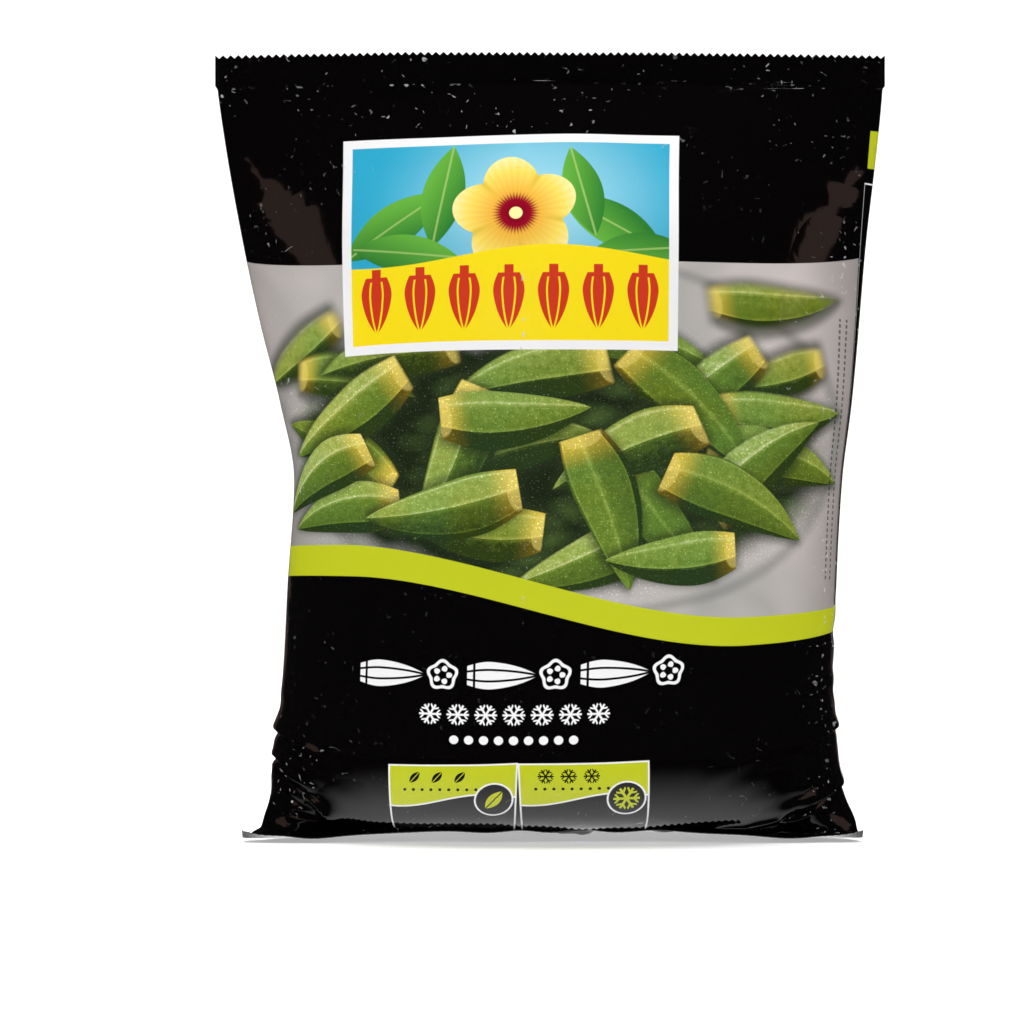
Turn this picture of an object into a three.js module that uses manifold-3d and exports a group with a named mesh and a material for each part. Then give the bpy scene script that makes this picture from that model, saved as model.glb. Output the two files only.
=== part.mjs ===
// A bag of frozen okra, standing on its base: a pillow bag of printed film, crimped shut at the top and
// the bottom and joined by a fin seam down its back, with the loose frozen pods settled in its lower part.
// Millimetres, +Z up. The printed front faces -Y, and the origin is the centre of the base.
import * as THREE from 'three';
import { mergeVertices } from 'three/addons/utils/BufferGeometryUtils.js';
import Module from 'manifold-3d';

const wasm = await Module();
wasm.setup();

// ---- Driving dimensions -------------------------------------------------------------------------
const FLAT_WIDTH = 220; // the film tube laid flat, which is the width of the crimped seals
const STANDING_HEIGHT = 258; // floor to the top seal's cut edge
const BELLY_DEPTH = 88; // front to back at the fullest height
const FILM = 0.6; // wall of the bag, several times the real film so that it holds as a solid
const SEAL_HEIGHT = 10; // crimped band at the top, and at the bottom where it lies on the floor
const BOTTOM_SEAL_LINE = -12; // where the bottom seal starts under the base, in front of the base's centre
const EAR_LEFT = 100.5; // how far the bottom seal's corners reach out to each side
const EAR_RIGHT = 102;
const SEAM_WIDTH = 12; // the fin seam down the back, folded over to one side
const VENT_RADIUS = 0.9; // the pinhole that lets air out when bags are stacked
const POD_COUNT = 56; // about 600 g of pods
const POD_LENGTH = [64, 86]; // shortest and longest pod
const POD_RADIUS = [9.0, 10.8]; // thinnest and thickest pod, over its ribs
const CLEARANCE = 0.5; // least gap between two pods, and between a pod and the film

const HALF_WIDTH = FLAT_WIDTH / 2;
const SEAL_LINE = STANDING_HEIGHT - SEAL_HEIGHT;

// ---- Bag outline --------------------------------------------------------------------------------
// Each row is a level section: its height over the standing height, the half-width to the left and to the
// right over HALF_WIDTH, the depth over BELLY_DEPTH, and the fullness of its ends, from 1 for a pinched edge
// to 0.5 for a round one. The bag is slack at the sides, so left and right differ.
const SECTIONS = [
  [0.0, 0.85, 0.9, 0.58, 0.62],
  [0.012, 0.856, 0.915, 0.7, 0.6],
  [0.045, 0.844, 0.89, 0.82, 0.58],
  [0.1, 0.834, 0.866, 0.915, 0.56],
  [0.2, 0.8, 0.85, 0.98, 0.54],
  [0.32, 0.785, 0.858, 1.0, 0.54],
  [0.45, 0.765, 0.875, 0.965, 0.56],
  [0.55, 0.808, 0.905, 0.885, 0.6],
  [0.65, 0.868, 0.927, 0.77, 0.65],
  [0.75, 0.919, 0.947, 0.62, 0.72],
  [0.85, 0.96, 0.973, 0.36, 0.8],
  [0.92, 0.984, 0.99, 0.15, 0.85],
  [SEAL_LINE / STANDING_HEIGHT, 1.0, 1.0, (2 * FILM) / BELLY_DEPTH, 0.15],
  [1.0, 0.996, 0.998, (2 * FILM) / BELLY_DEPTH, 0.15],
];
const FRONT_FLATNESS = 2.4; // exponent of the section across its width: 2 is an ellipse, more is flatter

// The section at a height, eased between the two rows around it so that the sides stay fair.
function sectionAt(z) {
  const h = THREE.MathUtils.clamp(z / STANDING_HEIGHT, 0, 1);
  let k = 1;
  while (k < SECTIONS.length - 1 && SECTIONS[k][0] < h) k += 1;
  const [low, high] = [SECTIONS[k - 1], SECTIONS[k]];
  const before = SECTIONS[Math.max(k - 2, 0)];
  const after = SECTIONS[Math.min(k + 1, SECTIONS.length - 1)];
  const t = (h - low[0]) / (high[0] - low[0]);
  const span = high[0] - low[0];
  const value = (column) => {
    const slope = (a, b) => (b[column] - a[column]) / (b[0] - a[0]);
    // A slope is kept to zero where the outline turns back, so that the curve never overshoots a row.
    const fair = (a, b) => (a * b <= 0 ? 0 : (2 * a * b) / (a + b));
    const middle = slope(low, high);
    const start = before === low ? middle : fair(slope(before, low), middle);
    const end = after === high ? middle : fair(middle, slope(high, after));
    const t2 = t * t;
    const t3 = t2 * t;
    return (
      (2 * t3 - 3 * t2 + 1) * low[column] + (t3 - 2 * t2 + t) * span * start
      + (3 * t2 - 2 * t3) * high[column] + (t3 - t2) * span * end
    );
  };
  return {
    left: value(1) * HALF_WIDTH,
    right: value(2) * HALF_WIDTH,
    halfDepth: (value(3) * BELLY_DEPTH) / 2,
    ends: value(4),
  };
}

// Half the depth of a section at a share across it, from -1 at the left edge to 1 at the right edge.
function halfDepthAcross(section, across) {
  const fall = Math.max(0, 1 - Math.abs(across) ** FRONT_FLATNESS);
  return section.halfDepth * fall ** section.ends;
}

// ---- Solids -------------------------------------------------------------------------------------
function solidOf(geometry) {
  const bare = geometry.index ? geometry.toNonIndexed() : geometry.clone();
  bare.deleteAttribute('normal');
  bare.deleteAttribute('uv');
  const merged = mergeVertices(bare, 1e-4);
  return new wasm.Manifold(new wasm.Mesh({
    numProp: 3,
    vertProperties: merged.attributes.position.array,
    triVerts: new Uint32Array(merged.index.array),
  }));
}

function geometryOf(solid) {
  const mesh = solid.getMesh();
  const geometry = new THREE.BufferGeometry();
  geometry.setAttribute('position', new THREE.Float32BufferAttribute(mesh.vertProperties, 3));
  geometry.setIndex(new THREE.Uint32BufferAttribute(mesh.triVerts, 1));
  const flat = geometry.toNonIndexed();
  flat.computeVertexNormals();
  return flat;
}

// A closed body from rings of points, all with the same count and running counter-clockwise seen from the
// last ring's side. capOf gives the triangles, as index triples into one ring, that close the two end rings.
function loft(rings, capOf) {
  const count = rings[0].length;
  const index = [];
  for (let r = 0; r < rings.length - 1; r += 1) {
    for (let c = 0; c < count; c += 1) {
      const next = (c + 1) % count;
      const [a, b] = [r * count + c, r * count + next];
      index.push(a, b, b + count, a, b + count, a + count);
    }
  }
  const last = (rings.length - 1) * count;
  for (const [a, b, c] of capOf(count)) {
    index.push(a, c, b);
    index.push(last + a, last + b, last + c);
  }
  const geometry = new THREE.BufferGeometry();
  geometry.setAttribute('position', new THREE.Float32BufferAttribute(rings.flat(2), 3));
  geometry.setIndex(index);
  return geometry;
}

// Rungs between the front and the back half of a ring, whose points 0 and count/2 are its two side edges.
function ladderCap(count) {
  const triangles = [];
  for (let k = 0; k < count / 2; k += 1) {
    const [front, frontNext] = [k, k + 1];
    const [back, backNext] = [(count - k) % count, count - k - 1];
    if (k > 0) triangles.push([front, frontNext, back]);
    if (k < count / 2 - 1) triangles.push([frontNext, backNext, back]);
  }
  return triangles;
}

const fanCap = (count) => Array.from({ length: count - 2 }, (_, k) => [0, k + 1, k + 2]);

// ---- Film bag -----------------------------------------------------------------------------------
const COLUMNS = 44; // points round a section
const LEVELS = [
  0, 3, 8, 16, 28, 42, 58, 74, 90, 106, 120, 134, 148, 161, 174, 187, 199, 210, 220, 229, 237, 243,
];

// One ring of the bag: from the left edge along the front to the right edge, then back along the rear.
function bagRing(z, inset, height = z) {
  const section = sectionAt(z);
  const thin = FILM / 4;
  section.halfDepth = Math.max(section.halfDepth - inset, thin);
  return Array.from({ length: COLUMNS }, (_, k) => {
    const angle = (2 * Math.PI * k) / COLUMNS;
    const across = -Math.cos(angle);
    const reach = (across < 0 ? section.left : section.right) - inset;
    const side = k === 0 || k === COLUMNS / 2 ? 0 : -Math.sign(Math.sin(angle));
    return [across * reach, side * halfDepthAcross(section, across), height];
  });
}

function pillow() {
  const rings = [...LEVELS, SEAL_LINE, STANDING_HEIGHT].map((z) => bagRing(z, 0));
  return solidOf(loft(rings, ladderCap));
}

// The room inside the film, which ends where the two walls come together under the top seal.
function hollow() {
  const rings = LEVELS.map((z, k) => bagRing(z, FILM, k === 0 ? FILM : z));
  return solidOf(loft([...rings, bagRing(SEAL_LINE - FILM, FILM)], ladderCap));
}

// The bottom seal is turned forward under the base and lies flat on the floor. Its two corners, where the
// base is too narrow to cover it, stick out as ears.
function bottomSeal() {
  const strip = new THREE.BoxGeometry(EAR_LEFT + EAR_RIGHT, SEAL_HEIGHT, 2 * FILM);
  strip.translate((EAR_RIGHT - EAR_LEFT) / 2, BOTTOM_SEAL_LINE - SEAL_HEIGHT / 2, FILM);
  return solidOf(strip);
}

// The fin seam: both edges of the web joined face to face, and the fin folded flat over the back.
function backSeam() {
  const sunk = FILM * 0.6;
  const raised = FILM * 1.4;
  const heights = [...LEVELS.slice(1), SEAL_LINE, STANDING_HEIGHT - 1];
  const rings = heights.map((z) => {
    const section = sectionAt(z);
    const rear = (x) => halfDepthAcross(section, x / section.right);
    return [
      [0, rear(0) - sunk, z],
      [SEAM_WIDTH, rear(SEAM_WIDTH) - sunk, z],
      [SEAM_WIDTH, rear(SEAM_WIDTH) + raised, z],
      [0, rear(0) + raised, z],
    ];
  });
  return solidOf(loft(rings, fanCap));
}

// A pinhole through the back panel only, near the top, beside the seam.
function vent() {
  const height = SEAL_LINE - 30;
  const rear = halfDepthAcross(sectionAt(height), 0.3);
  const hole = new THREE.CylinderGeometry(VENT_RADIUS, VENT_RADIUS, 8, 8);
  hole.translate(-0.3 * HALF_WIDTH, rear, height);
  return solidOf(hole);
}

function filmBag() {
  const outside = pillow().add(bottomSeal()).add(backSeam());
  return geometryOf(outside.subtract(hollow()).subtract(vent()));
}

// ---- Okra pods ----------------------------------------------------------------------------------
const RIBS = 5;
const RIB_RISE = 0.09; // how far a rib stands above, and a groove below, the pod's mean radius
// Share of the length from the cut stem end to the tip, and the radius there over the pod's radius.
const POD_PROFILE = [[0, 0.56], [0.05, 0.8], [0.15, 1.0], [0.42, 0.97], [0.72, 0.66], [0.92, 0.27]];

function podRadius(share) {
  const t = THREE.MathUtils.clamp(share, 0, 1);
  const rows = [...POD_PROFILE, [1, 0.05]];
  let k = 1;
  while (k < rows.length - 1 && rows[k][0] < t) k += 1;
  return THREE.MathUtils.mapLinear(t, rows[k - 1][0], rows[k][0], rows[k - 1][1], rows[k][1]);
}

// A pod along +Z from its cut end at 0, bent a little towards +X, with ribs as the high corners of each ring.
function podGeometry({ length, radius, bend }) {
  const sides = 2 * RIBS;
  const middle = (share) => bend * Math.sin(Math.PI * share);
  const ring = (share, swell) => Array.from({ length: sides }, (_, k) => {
    const angle = (2 * Math.PI * k) / sides;
    const reach = radius * swell * (k % 2 === 0 ? 1 : 1 - 2 * RIB_RISE);
    return [middle(share) + reach * Math.cos(angle), reach * Math.sin(angle), share * length];
  });
  return loft([...POD_PROFILE, [0.995, 0.06]].map(([share, swell]) => ring(share, swell)), fanCap);
}

// Repeatable random numbers from 0 to 1.
function randomFrom(seed) {
  let state = seed;
  return () => {
    state = (state + 0x6d2b79f5) | 0;
    let t = Math.imul(state ^ (state >>> 15), 1 | state);
    t = (t + Math.imul(t ^ (t >>> 7), 61 | t)) ^ t;
    return ((t ^ (t >>> 14)) >>> 0) / 4294967296;
  };
}

const between = ([low, high], share) => low + (high - low) * share;

// Pods start in loose level rows through the bag's height, each turned its own way.
function scatteredPods(random) {
  const perRow = 7;
  return Array.from({ length: POD_COUNT }, (_, k) => {
    const row = Math.floor(k / perRow);
    const length = between(POD_LENGTH, random());
    const heading = new THREE.Vector3(
      random() - 0.5,
      (random() - 0.5) * 0.35,
      (random() - 0.5) * 0.9,
    ).normalize();
    const centre = new THREE.Vector3(
      ((k % perRow) - (perRow - 1) / 2) * 19,
      (random() - 0.5) * 34,
      22 + row * 24,
    );
    return {
      length,
      radius: between(POD_RADIUS, random()),
      bend: between([0.5, 2], random()),
      roll: random() * 2 * Math.PI,
      stem: centre.clone().addScaledVector(heading, -length / 2),
      tip: centre.clone().addScaledVector(heading, length / 2),
    };
  });
}

// How far inside the bag's wall a point is, and the way in: the section's own function over its slope.
function insideBag(point) {
  const measure = (p) => {
    const section = sectionAt(p.z);
    const reach = (p.x < 0 ? section.left : section.right) - FILM;
    const across = Math.min(Math.abs(p.x) / reach, 2) ** FRONT_FLATNESS;
    return across + (Math.abs(p.y) / Math.max(section.halfDepth - FILM, 1)) ** (1 / section.ends) - 1;
  };
  const step = 0.5;
  const here = measure(point);
  const slope = new THREE.Vector3(
    measure(point.clone().setX(point.x + step)) - measure(point.clone().setX(point.x - step)),
    measure(point.clone().setY(point.y + step)) - measure(point.clone().setY(point.y - step)),
    measure(point.clone().setZ(point.z + step)) - measure(point.clone().setZ(point.z - step)),
  ).divideScalar(2 * step);
  const steepness = Math.max(slope.length(), 0.02);
  return { depth: -here / steepness, inward: slope.divideScalar(-steepness) };
}

// Moves a point of a pod's axis, at a share from stem to tip, by sharing the push between its two ends.
function push(pod, share, move) {
  const weight = (1 - share) ** 2 + share ** 2;
  pod.stem.addScaledVector(move, (1 - share) / weight);
  pod.tip.addScaledVector(move, share / weight);
}

function straighten(pod) {
  const middle = pod.stem.clone().add(pod.tip).multiplyScalar(0.5);
  const half = pod.tip.clone().sub(pod.stem).setLength(pod.length / 2);
  pod.stem.copy(middle).sub(half);
  pod.tip.copy(middle).add(half);
}

const pointOn = (pod, share) => pod.stem.clone().lerp(pod.tip, share);

// The room a pod needs round its axis: its radius there, its bend and half the clearance.
const roomAt = (pod, share) => pod.radius * podRadius(share) + pod.bend * 0.6 + CLEARANCE / 2;

// Pushes two pods apart where a point of one is too near the nearest point of the other's axis.
function part(one, other, share) {
  const point = pointOn(one, share);
  const axis = other.tip.clone().sub(other.stem);
  const nearest = THREE.MathUtils.clamp(point.clone().sub(other.stem).dot(axis) / axis.lengthSq(), 0, 1);
  const gap = point.sub(pointOn(other, nearest));
  const lack = roomAt(one, share) + roomAt(other, nearest) - gap.length();
  if (lack <= 0) return 0;
  gap.setLength(lack * 0.5);
  push(one, share, gap);
  push(other, nearest, gap.negate());
  return lack;
}

// Pushes a pod up off the base and in from the wall, tested where the pod comes nearest to the film.
function keepInside(pod, share) {
  const room = roomAt(pod, share);
  const point = pointOn(pod, share);
  const floorLack = room + 2 * FILM - point.z;
  if (floorLack > 0) push(pod, share, new THREE.Vector3(0, 0, floorLack));
  const nearWall = point.clone().addScaledVector(insideBag(point).inward, -room);
  const wall = insideBag(nearWall);
  const wallLack = FILM + CLEARANCE - wall.depth;
  if (wallLack > 0) push(pod, share, wall.inward.multiplyScalar(Math.min(wallLack, 2)));
  return Math.max(floorLack, wallLack, 0);
}

// Whether two pods are too far apart to touch, whatever way they point.
function farApart(one, other) {
  return pointOn(one, 0.5).distanceTo(pointOn(other, 0.5)) > POD_LENGTH[1] + 2 * POD_RADIUS[1];
}

// Lets the pods sink in small steps and keeps them apart and inside the bag, until nothing touches.
function settledPods() {
  const pods = scatteredPods(randomFrom(20));
  const shares = Array.from({ length: 10 }, (_, k) => 0.03 + 0.105 * k);
  const sinking = 420;
  const settling = 900;
  for (let turn = 0; turn < settling; turn += 1) {
    const sink = turn < sinking ? 0.5 : 0;
    let worst = 0;
    for (const pod of pods) {
      pod.stem.z -= sink;
      pod.tip.z -= sink;
    }
    for (let a = 0; a < pods.length; a += 1) {
      for (let b = a + 1; b < pods.length; b += 1) {
        if (farApart(pods[a], pods[b])) continue;
        for (const share of shares) {
          worst = Math.max(worst, part(pods[a], pods[b], share), part(pods[b], pods[a], share));
        }
      }
    }
    for (const pod of pods) {
      for (const share of shares) worst = Math.max(worst, keepInside(pod, share));
      straighten(pod);
    }
    if (turn > sinking && worst < 0.03) break;
  }
  return pods;
}

// ---- Materials and assembly ---------------------------------------------------------------------
const printedFilm = new THREE.MeshStandardMaterial({ color: 0x0b090a, roughness: 0.22, metalness: 0 });
const podSkin = new THREE.MeshStandardMaterial({ color: 0x4f7d2a, roughness: 0.55, metalness: 0 });

const bag = new THREE.Group();

const film = new THREE.Mesh(filmBag(), printedFilm);
film.name = 'film_bag';
bag.add(film);

settledPods().forEach((pod, k) => {
  const mesh = new THREE.Mesh(podGeometry(pod), podSkin);
  mesh.name = `okra_pod_${String(k + 1).padStart(2, '0')}`;
  const heading = pod.tip.clone().sub(pod.stem).normalize();
  const roll = new THREE.Quaternion().setFromAxisAngle(new THREE.Vector3(0, 0, 1), pod.roll);
  mesh.quaternion.setFromUnitVectors(new THREE.Vector3(0, 0, 1), heading).multiply(roll);
  mesh.position.copy(pod.stem);
  bag.add(mesh);
});

// The base's centre is the origin: the whole bag is moved so that its box stands over it.
const extent = new THREE.Box3().setFromObject(bag, true);
const centre = extent.getCenter(new THREE.Vector3());
bag.position.set(-centre.x, -centre.y, -extent.min.z);

export default bag;
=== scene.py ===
import math
from functools import partial

import bpy
import numpy as np
from bpy.props import FloatProperty, FloatVectorProperty, IntProperty, PointerProperty
from bpy.types import Operator, Panel, PropertyGroup
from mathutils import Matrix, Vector


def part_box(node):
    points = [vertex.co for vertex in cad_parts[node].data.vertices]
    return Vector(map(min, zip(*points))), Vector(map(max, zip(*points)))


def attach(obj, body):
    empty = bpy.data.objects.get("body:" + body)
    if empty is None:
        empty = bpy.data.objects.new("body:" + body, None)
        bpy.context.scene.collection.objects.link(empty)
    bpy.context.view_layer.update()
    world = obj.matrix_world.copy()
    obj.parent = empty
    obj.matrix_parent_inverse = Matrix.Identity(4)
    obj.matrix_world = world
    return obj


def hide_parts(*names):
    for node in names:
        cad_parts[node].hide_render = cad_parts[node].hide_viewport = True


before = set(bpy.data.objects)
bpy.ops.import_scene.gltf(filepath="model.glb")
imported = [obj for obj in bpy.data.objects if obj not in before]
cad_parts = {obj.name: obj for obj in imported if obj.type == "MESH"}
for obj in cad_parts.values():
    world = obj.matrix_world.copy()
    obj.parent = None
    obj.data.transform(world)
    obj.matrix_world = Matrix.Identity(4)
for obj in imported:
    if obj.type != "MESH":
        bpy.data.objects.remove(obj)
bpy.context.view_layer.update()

bl_info = {
    "name": "Bag of Frozen Okra",
    "version": (1, 0, 0),
    "blender": (4, 5, 0),
    "location": "3D View > Sidebar > Okra Bag",
    "description": "Relaxes a printed film bag over its frozen okra pods and dresses both",
    "category": "Object",
}

BODY = "root"
FILM_NODE = "film_bag"
POD_NODES = sorted(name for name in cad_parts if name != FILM_NODE)
BAG_LOW, BAG_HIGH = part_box(FILM_NODE)
MM = 0.001  # a millimetre in metres


# ---- Settings a user would change ----


def length_property(name, description, default, low=0.0, high=1.0):
    """A size in metres, shown with its unit."""
    return FloatProperty(
        name=name, description=description, default=default, min=low, max=high, unit="LENGTH", precision=4
    )


def colour_property(name, description, default):
    """A linear RGB colour with a colour picker."""
    return FloatVectorProperty(
        name=name, description=description, default=default, size=3, min=0.0, max=1.0, subtype="COLOR"
    )


def power_property(name, description, default):
    """A light's power in watts."""
    return FloatProperty(name=name, description=description, default=default, min=0.0, unit="POWER")


class OkraBagFilm(PropertyGroup):
    """Sizes of the film tube and of how it is closed."""

    flat_width: length_property("Flat width", "Width of the film tube laid flat", BAG_HIGH.x - BAG_LOW.x)
    standing_height: length_property(
        "Standing height", "Floor to the cut edge of the top seal", BAG_HIGH.z - BAG_LOW.z
    )
    belly_depth: length_property("Belly depth", "Front to back at the fullest height", 0.088)
    seal_height: length_property("Seal height", "Crimped band at the top and at the bottom", 0.010)
    tooth_depth: length_property("Tooth depth", "Depth of the zigzag cut along both seals", 0.0011)
    fin_width: length_property("Fin width", "Width of the seam folded over down the back", 0.012)
    gauge: length_property("Gauge", "Film thickness where two layers lie together", 0.00022)
    seed: IntProperty(name="Seed", description="Which wrinkles the film falls into", default=7, min=0)


class OkraBagPrint(PropertyGroup):
    """Inks of the printed film."""

    black: colour_property("Black", "Ground of the whole bag", (0.0015, 0.0011, 0.0011))
    lime: colour_property("Lime", "Stripe, boxes and corner block", (0.51, 0.565, 0.018))
    yellow: colour_property("Yellow", "Field of the label", (0.92, 0.72, 0.011))
    red: colour_property("Red", "Pods on the label", (0.59, 0.04, 0.015))
    white: colour_property("White", "Borders, rules and pictograms", (0.86, 0.86, 0.87))
    pod_green: colour_property("Pod green", "Lit skin of the printed pods", (0.115, 0.21, 0.03))
    pod_shade: colour_property("Pod shade", "Shaded skin of the printed pods", (0.02, 0.042, 0.012))
    pod_cut: colour_property("Pod stem", "Trimmed stem ends of the printed pods", (0.64, 0.49, 0.06))


class OkraBagPods(PropertyGroup):
    """Finish of the frozen pods."""

    skin: colour_property("Skin", "Okra skin", (0.13, 0.24, 0.04))
    stem: colour_property("Stem", "Trimmed stem end", (0.42, 0.44, 0.14))
    frost: FloatProperty(
        name="Frost", description="Share of the skin under frost", default=0.35, min=0.0, max=1.0,
        subtype="FACTOR",
    )


class OkraBagStage(PropertyGroup):
    """Floor, lights and camera."""

    floor_colour: colour_property("Floor", "Paper sweep under and behind the bag", (0.9, 0.9, 0.9))
    fill_light: power_property("Fill light", "Power of the stronger soft fill", 8.0)
    side_light: power_property("Side light", "Power of each side panel", 0.38)
    sweep_light: power_property("Sweep light", "Power of the light on the backdrop", 60.0)
    lens: FloatProperty(
        name="Lens", description="Focal length", default=190.0, min=20.0, max=300.0, unit="CAMERA"
    )


def settings(name):
    """One of this file's property groups, as the scene holds it."""
    return getattr(bpy.context.scene, name)


# ---- Shader bench ----


def math_method(operation, reverse=False):
    """A method of Wire that adds one Math node, which takes its values in reverse order if asked to."""

    def add_node(self, *others):
        values = (*others, self) if reverse else (self, *others)
        return self.bench.node("ShaderNodeMath", {"operation": operation}, *values)

    return add_node


class Wire:
    """A node's output socket. Operators and methods on wires and numbers add the Math nodes that work them
    out. Angles are in radians; heading is the angle of the point that lies this value along and another
    across; least and most are the smaller and the larger of two values."""

    def __init__(self, bench, socket):
        self.bench = bench
        self.socket = socket

    __add__ = __radd__ = math_method("ADD")
    __mul__ = __rmul__ = math_method("MULTIPLY")
    __sub__ = math_method("SUBTRACT")
    __rsub__ = math_method("SUBTRACT", reverse=True)
    __truediv__ = math_method("DIVIDE")
    __rtruediv__ = math_method("DIVIDE", reverse=True)
    __pow__ = math_method("POWER")
    __rpow__ = math_method("POWER", reverse=True)
    __abs__ = math_method("ABSOLUTE")
    sin = math_method("SINE")
    cos = math_method("COSINE")
    heading = math_method("ARCTAN2", reverse=True)
    root = math_method("SQRT")
    least = math_method("MINIMUM")
    most = math_method("MAXIMUM")

    def output(self, key):
        """Another output of the same node, by its place or its name."""
        return Wire(self.bench, self.bench.socket(self.socket.node.outputs, key))

    def arcsine(self):
        """Angle whose sine is the value, held just inside -1 to 1."""
        held = self.most(-0.98).least(0.98)
        return self.bench.node("ShaderNodeMath", {"operation": "ARCSINE"}, held)

    def share(self):
        """The value held between 0 and 1."""
        return self.most(0.0).least(1.0)

    def repeat(self, pitch):
        """Distance from the nearest multiple of a pitch, from -pitch/2 to pitch/2."""
        return self.bench.node("ShaderNodeMath", {"operation": "WRAP"}, self, pitch / 2, -pitch / 2)

    def fade(self, low, high):
        """0 below low and 1 above high, eased between them. low may be above high, which turns it round."""
        if low > high:
            return 1.0 - self.fade(high, low)
        return self.bench.node(
            "ShaderNodeMapRange", {"interpolation_type": "SMOOTHSTEP", "clamp": False},
            **{"Value": self, "From Min": low, "From Max": high},
        )


class Bench:
    """Adds nodes to one node tree."""

    def __init__(self, tree):
        self.tree = tree

    @staticmethod
    def socket(sockets, key):
        """A socket by its place, its name or its identifier."""
        if isinstance(key, int):
            return sockets[key]
        return next(socket for socket in sockets if key in (socket.name, socket.identifier))

    def node(self, kind, node_settings=None, *values, out=0, **named):
        """Adds a node, applies its settings, fills its inputs by place or by name, and gives an output."""
        made = self.tree.nodes.new(kind)
        count = len(self.tree.nodes)
        made.location = (200 * (count % 16), -220 * (count // 16))
        for key, value in (node_settings or {}).items():
            if key == "stops":
                self._fill_ramp(made.color_ramp, value)
            else:
                setattr(made, key, value)
        for key, value in (*enumerate(values), *named.items()):
            self._feed(self.socket(made.inputs, key), value)
        return Wire(self, self.socket(made.outputs, out)) if made.outputs else None

    def _feed(self, socket, value):
        if isinstance(value, Wire):
            self.tree.links.new(value.socket, socket)
        elif socket.type == "RGBA":
            socket.default_value = (*value, 1.0)
        else:
            socket.default_value = value

    @staticmethod
    def _fill_ramp(ramp, stops):
        while len(ramp.elements) < len(stops):
            ramp.elements.new(0.5)
        for element, (place, colour) in zip(ramp.elements, stops):
            element.position = place
            element.color = (*colour, 1.0)

    def split(self, vector):
        """The first two values of a vector."""
        across = self.node("ShaderNodeSeparateXYZ", {}, vector)
        return across, across.output("Y")

    def together(self, x, y):
        """A vector of two wires."""
        return self.node("ShaderNodeCombineXYZ", {}, X=x, Y=y)

    def scaled(self, vector, scale, shift=(0.0, 0.0, 0.0)):
        """A place multiplied by a scale, then shifted."""
        return self.node("ShaderNodeMapping", {}, Vector=vector, Scale=scale, Location=shift)

    def mix(self, factor, under, over):
        """The colour over laid on the colour under where factor is 1."""
        return self.node(
            "ShaderNodeMix", {"data_type": "RGBA"}, Factor_Float=factor, A_Color=under, B_Color=over,
            out="Result_Color",
        )

    def brighter(self, colour, times):
        """A colour made so many times as bright."""
        return self.node("ShaderNodeVectorMath", {"operation": "SCALE"}, colour, Scale=times)

    def ramp(self, value, stops):
        """A colour ramp over a value from 0 to 1."""
        return self.node("ShaderNodeValToRGB", {"stops": stops}, value)

    def noise(self, place, scale, detail=3.0, roughness=0.5, distortion=0.0):
        """Perlin noise from 0 to 1 at a place, scale being features per unit."""
        return self.node(
            "ShaderNodeTexNoise", {}, Vector=place, Scale=scale, Detail=detail, Roughness=roughness,
            Distortion=distortion,
        )

    def cells(self, place):
        """Distance from the nearest of many scattered points, about one to a unit."""
        return self.node("ShaderNodeTexVoronoi", {}, Vector=place, Scale=1.0)

    def bump(self, height, distance, strength=1.0):
        """A normal bent by a height from 0 to 1, distance being the height's size in metres."""
        return self.node("ShaderNodeBump", {}, Strength=strength, Distance=distance, Height=height)

    def surface(self, colour, roughness, normal=(0.0, 0.0, 0.0), refraction=1.5):
        """A glossy or matt surface without metal."""
        return self.node(
            "ShaderNodeBsdfPrincipled", {},
            **{"Base Color": colour, "Roughness": roughness, "Normal": normal, "IOR": refraction},
        )

    def glowing(self, colour, glow, strength):
        """A matt surface that gives off light of its own."""
        return self.node(
            "ShaderNodeBsdfPrincipled", {},
            **{"Base Color": colour, "Roughness": 0.9},
            **{"Emission Color": glow, "Emission Strength": strength},
        )

    def stamp(self, motif, *values):
        """Adds a motif's node group with its inputs in order, and gives its first output."""
        return self.node("ShaderNodeGroup", {"node_tree": motif}, *values)


def motif(name, inputs, draw):
    """A node group, made once: inputs are names, with a * before a colour's. draw gets a bench and a wire for
    each input and gives the group's outputs, a mask or a colour each, as a dict."""
    if name in bpy.data.node_groups:
        return bpy.data.node_groups[name]
    tree = bpy.data.node_groups.new(name, "ShaderNodeTree")
    for title in inputs:
        kind = "NodeSocketColor" if title.startswith("*") else "NodeSocketFloat"
        tree.interface.new_socket(title.lstrip("*"), in_out="INPUT", socket_type=kind)
    bench = Bench(tree)
    entry = bench.node("NodeGroupInput")
    results = draw(bench, *(entry.output(place) for place in range(len(inputs))))
    for title in results:
        kind = "NodeSocketColor" if title == "colour" else "NodeSocketFloat"
        tree.interface.new_socket(title, in_out="OUTPUT", socket_type=kind)
    bench.node("NodeGroupOutput", {}, *results.values())
    return tree


def new_material(name, paint):
    """A material whose surface is what paint makes on a bench."""
    material = bpy.data.materials.new(name)
    material.use_nodes = True
    material.node_tree.nodes.clear()
    bench = Bench(material.node_tree)
    bench.node("ShaderNodeOutputMaterial", {}, paint(bench))
    return material


# ---- Meshes ----


def add_piece(name, points, faces, material, uvs=None):
    """A smooth mesh object from an array of points in metres and a list of faces, with its material and its
    corner UVs."""
    mesh = bpy.data.meshes.new(name)
    mesh.from_pydata(points.tolist(), [], faces)
    mesh.polygons.foreach_set("use_smooth", np.full(len(mesh.polygons), True))
    if uvs is not None:
        layer = mesh.uv_layers.new(name="film")
        layer.data.foreach_set("uv", uvs.astype(np.float32).ravel())
    mesh.materials.append(material)
    mesh.update()
    if mesh.validate():
        raise RuntimeError(f"{name} has faces that Blender had to mend")
    piece = bpy.data.objects.new(name, mesh)
    bpy.context.scene.collection.objects.link(piece)
    return piece


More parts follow.
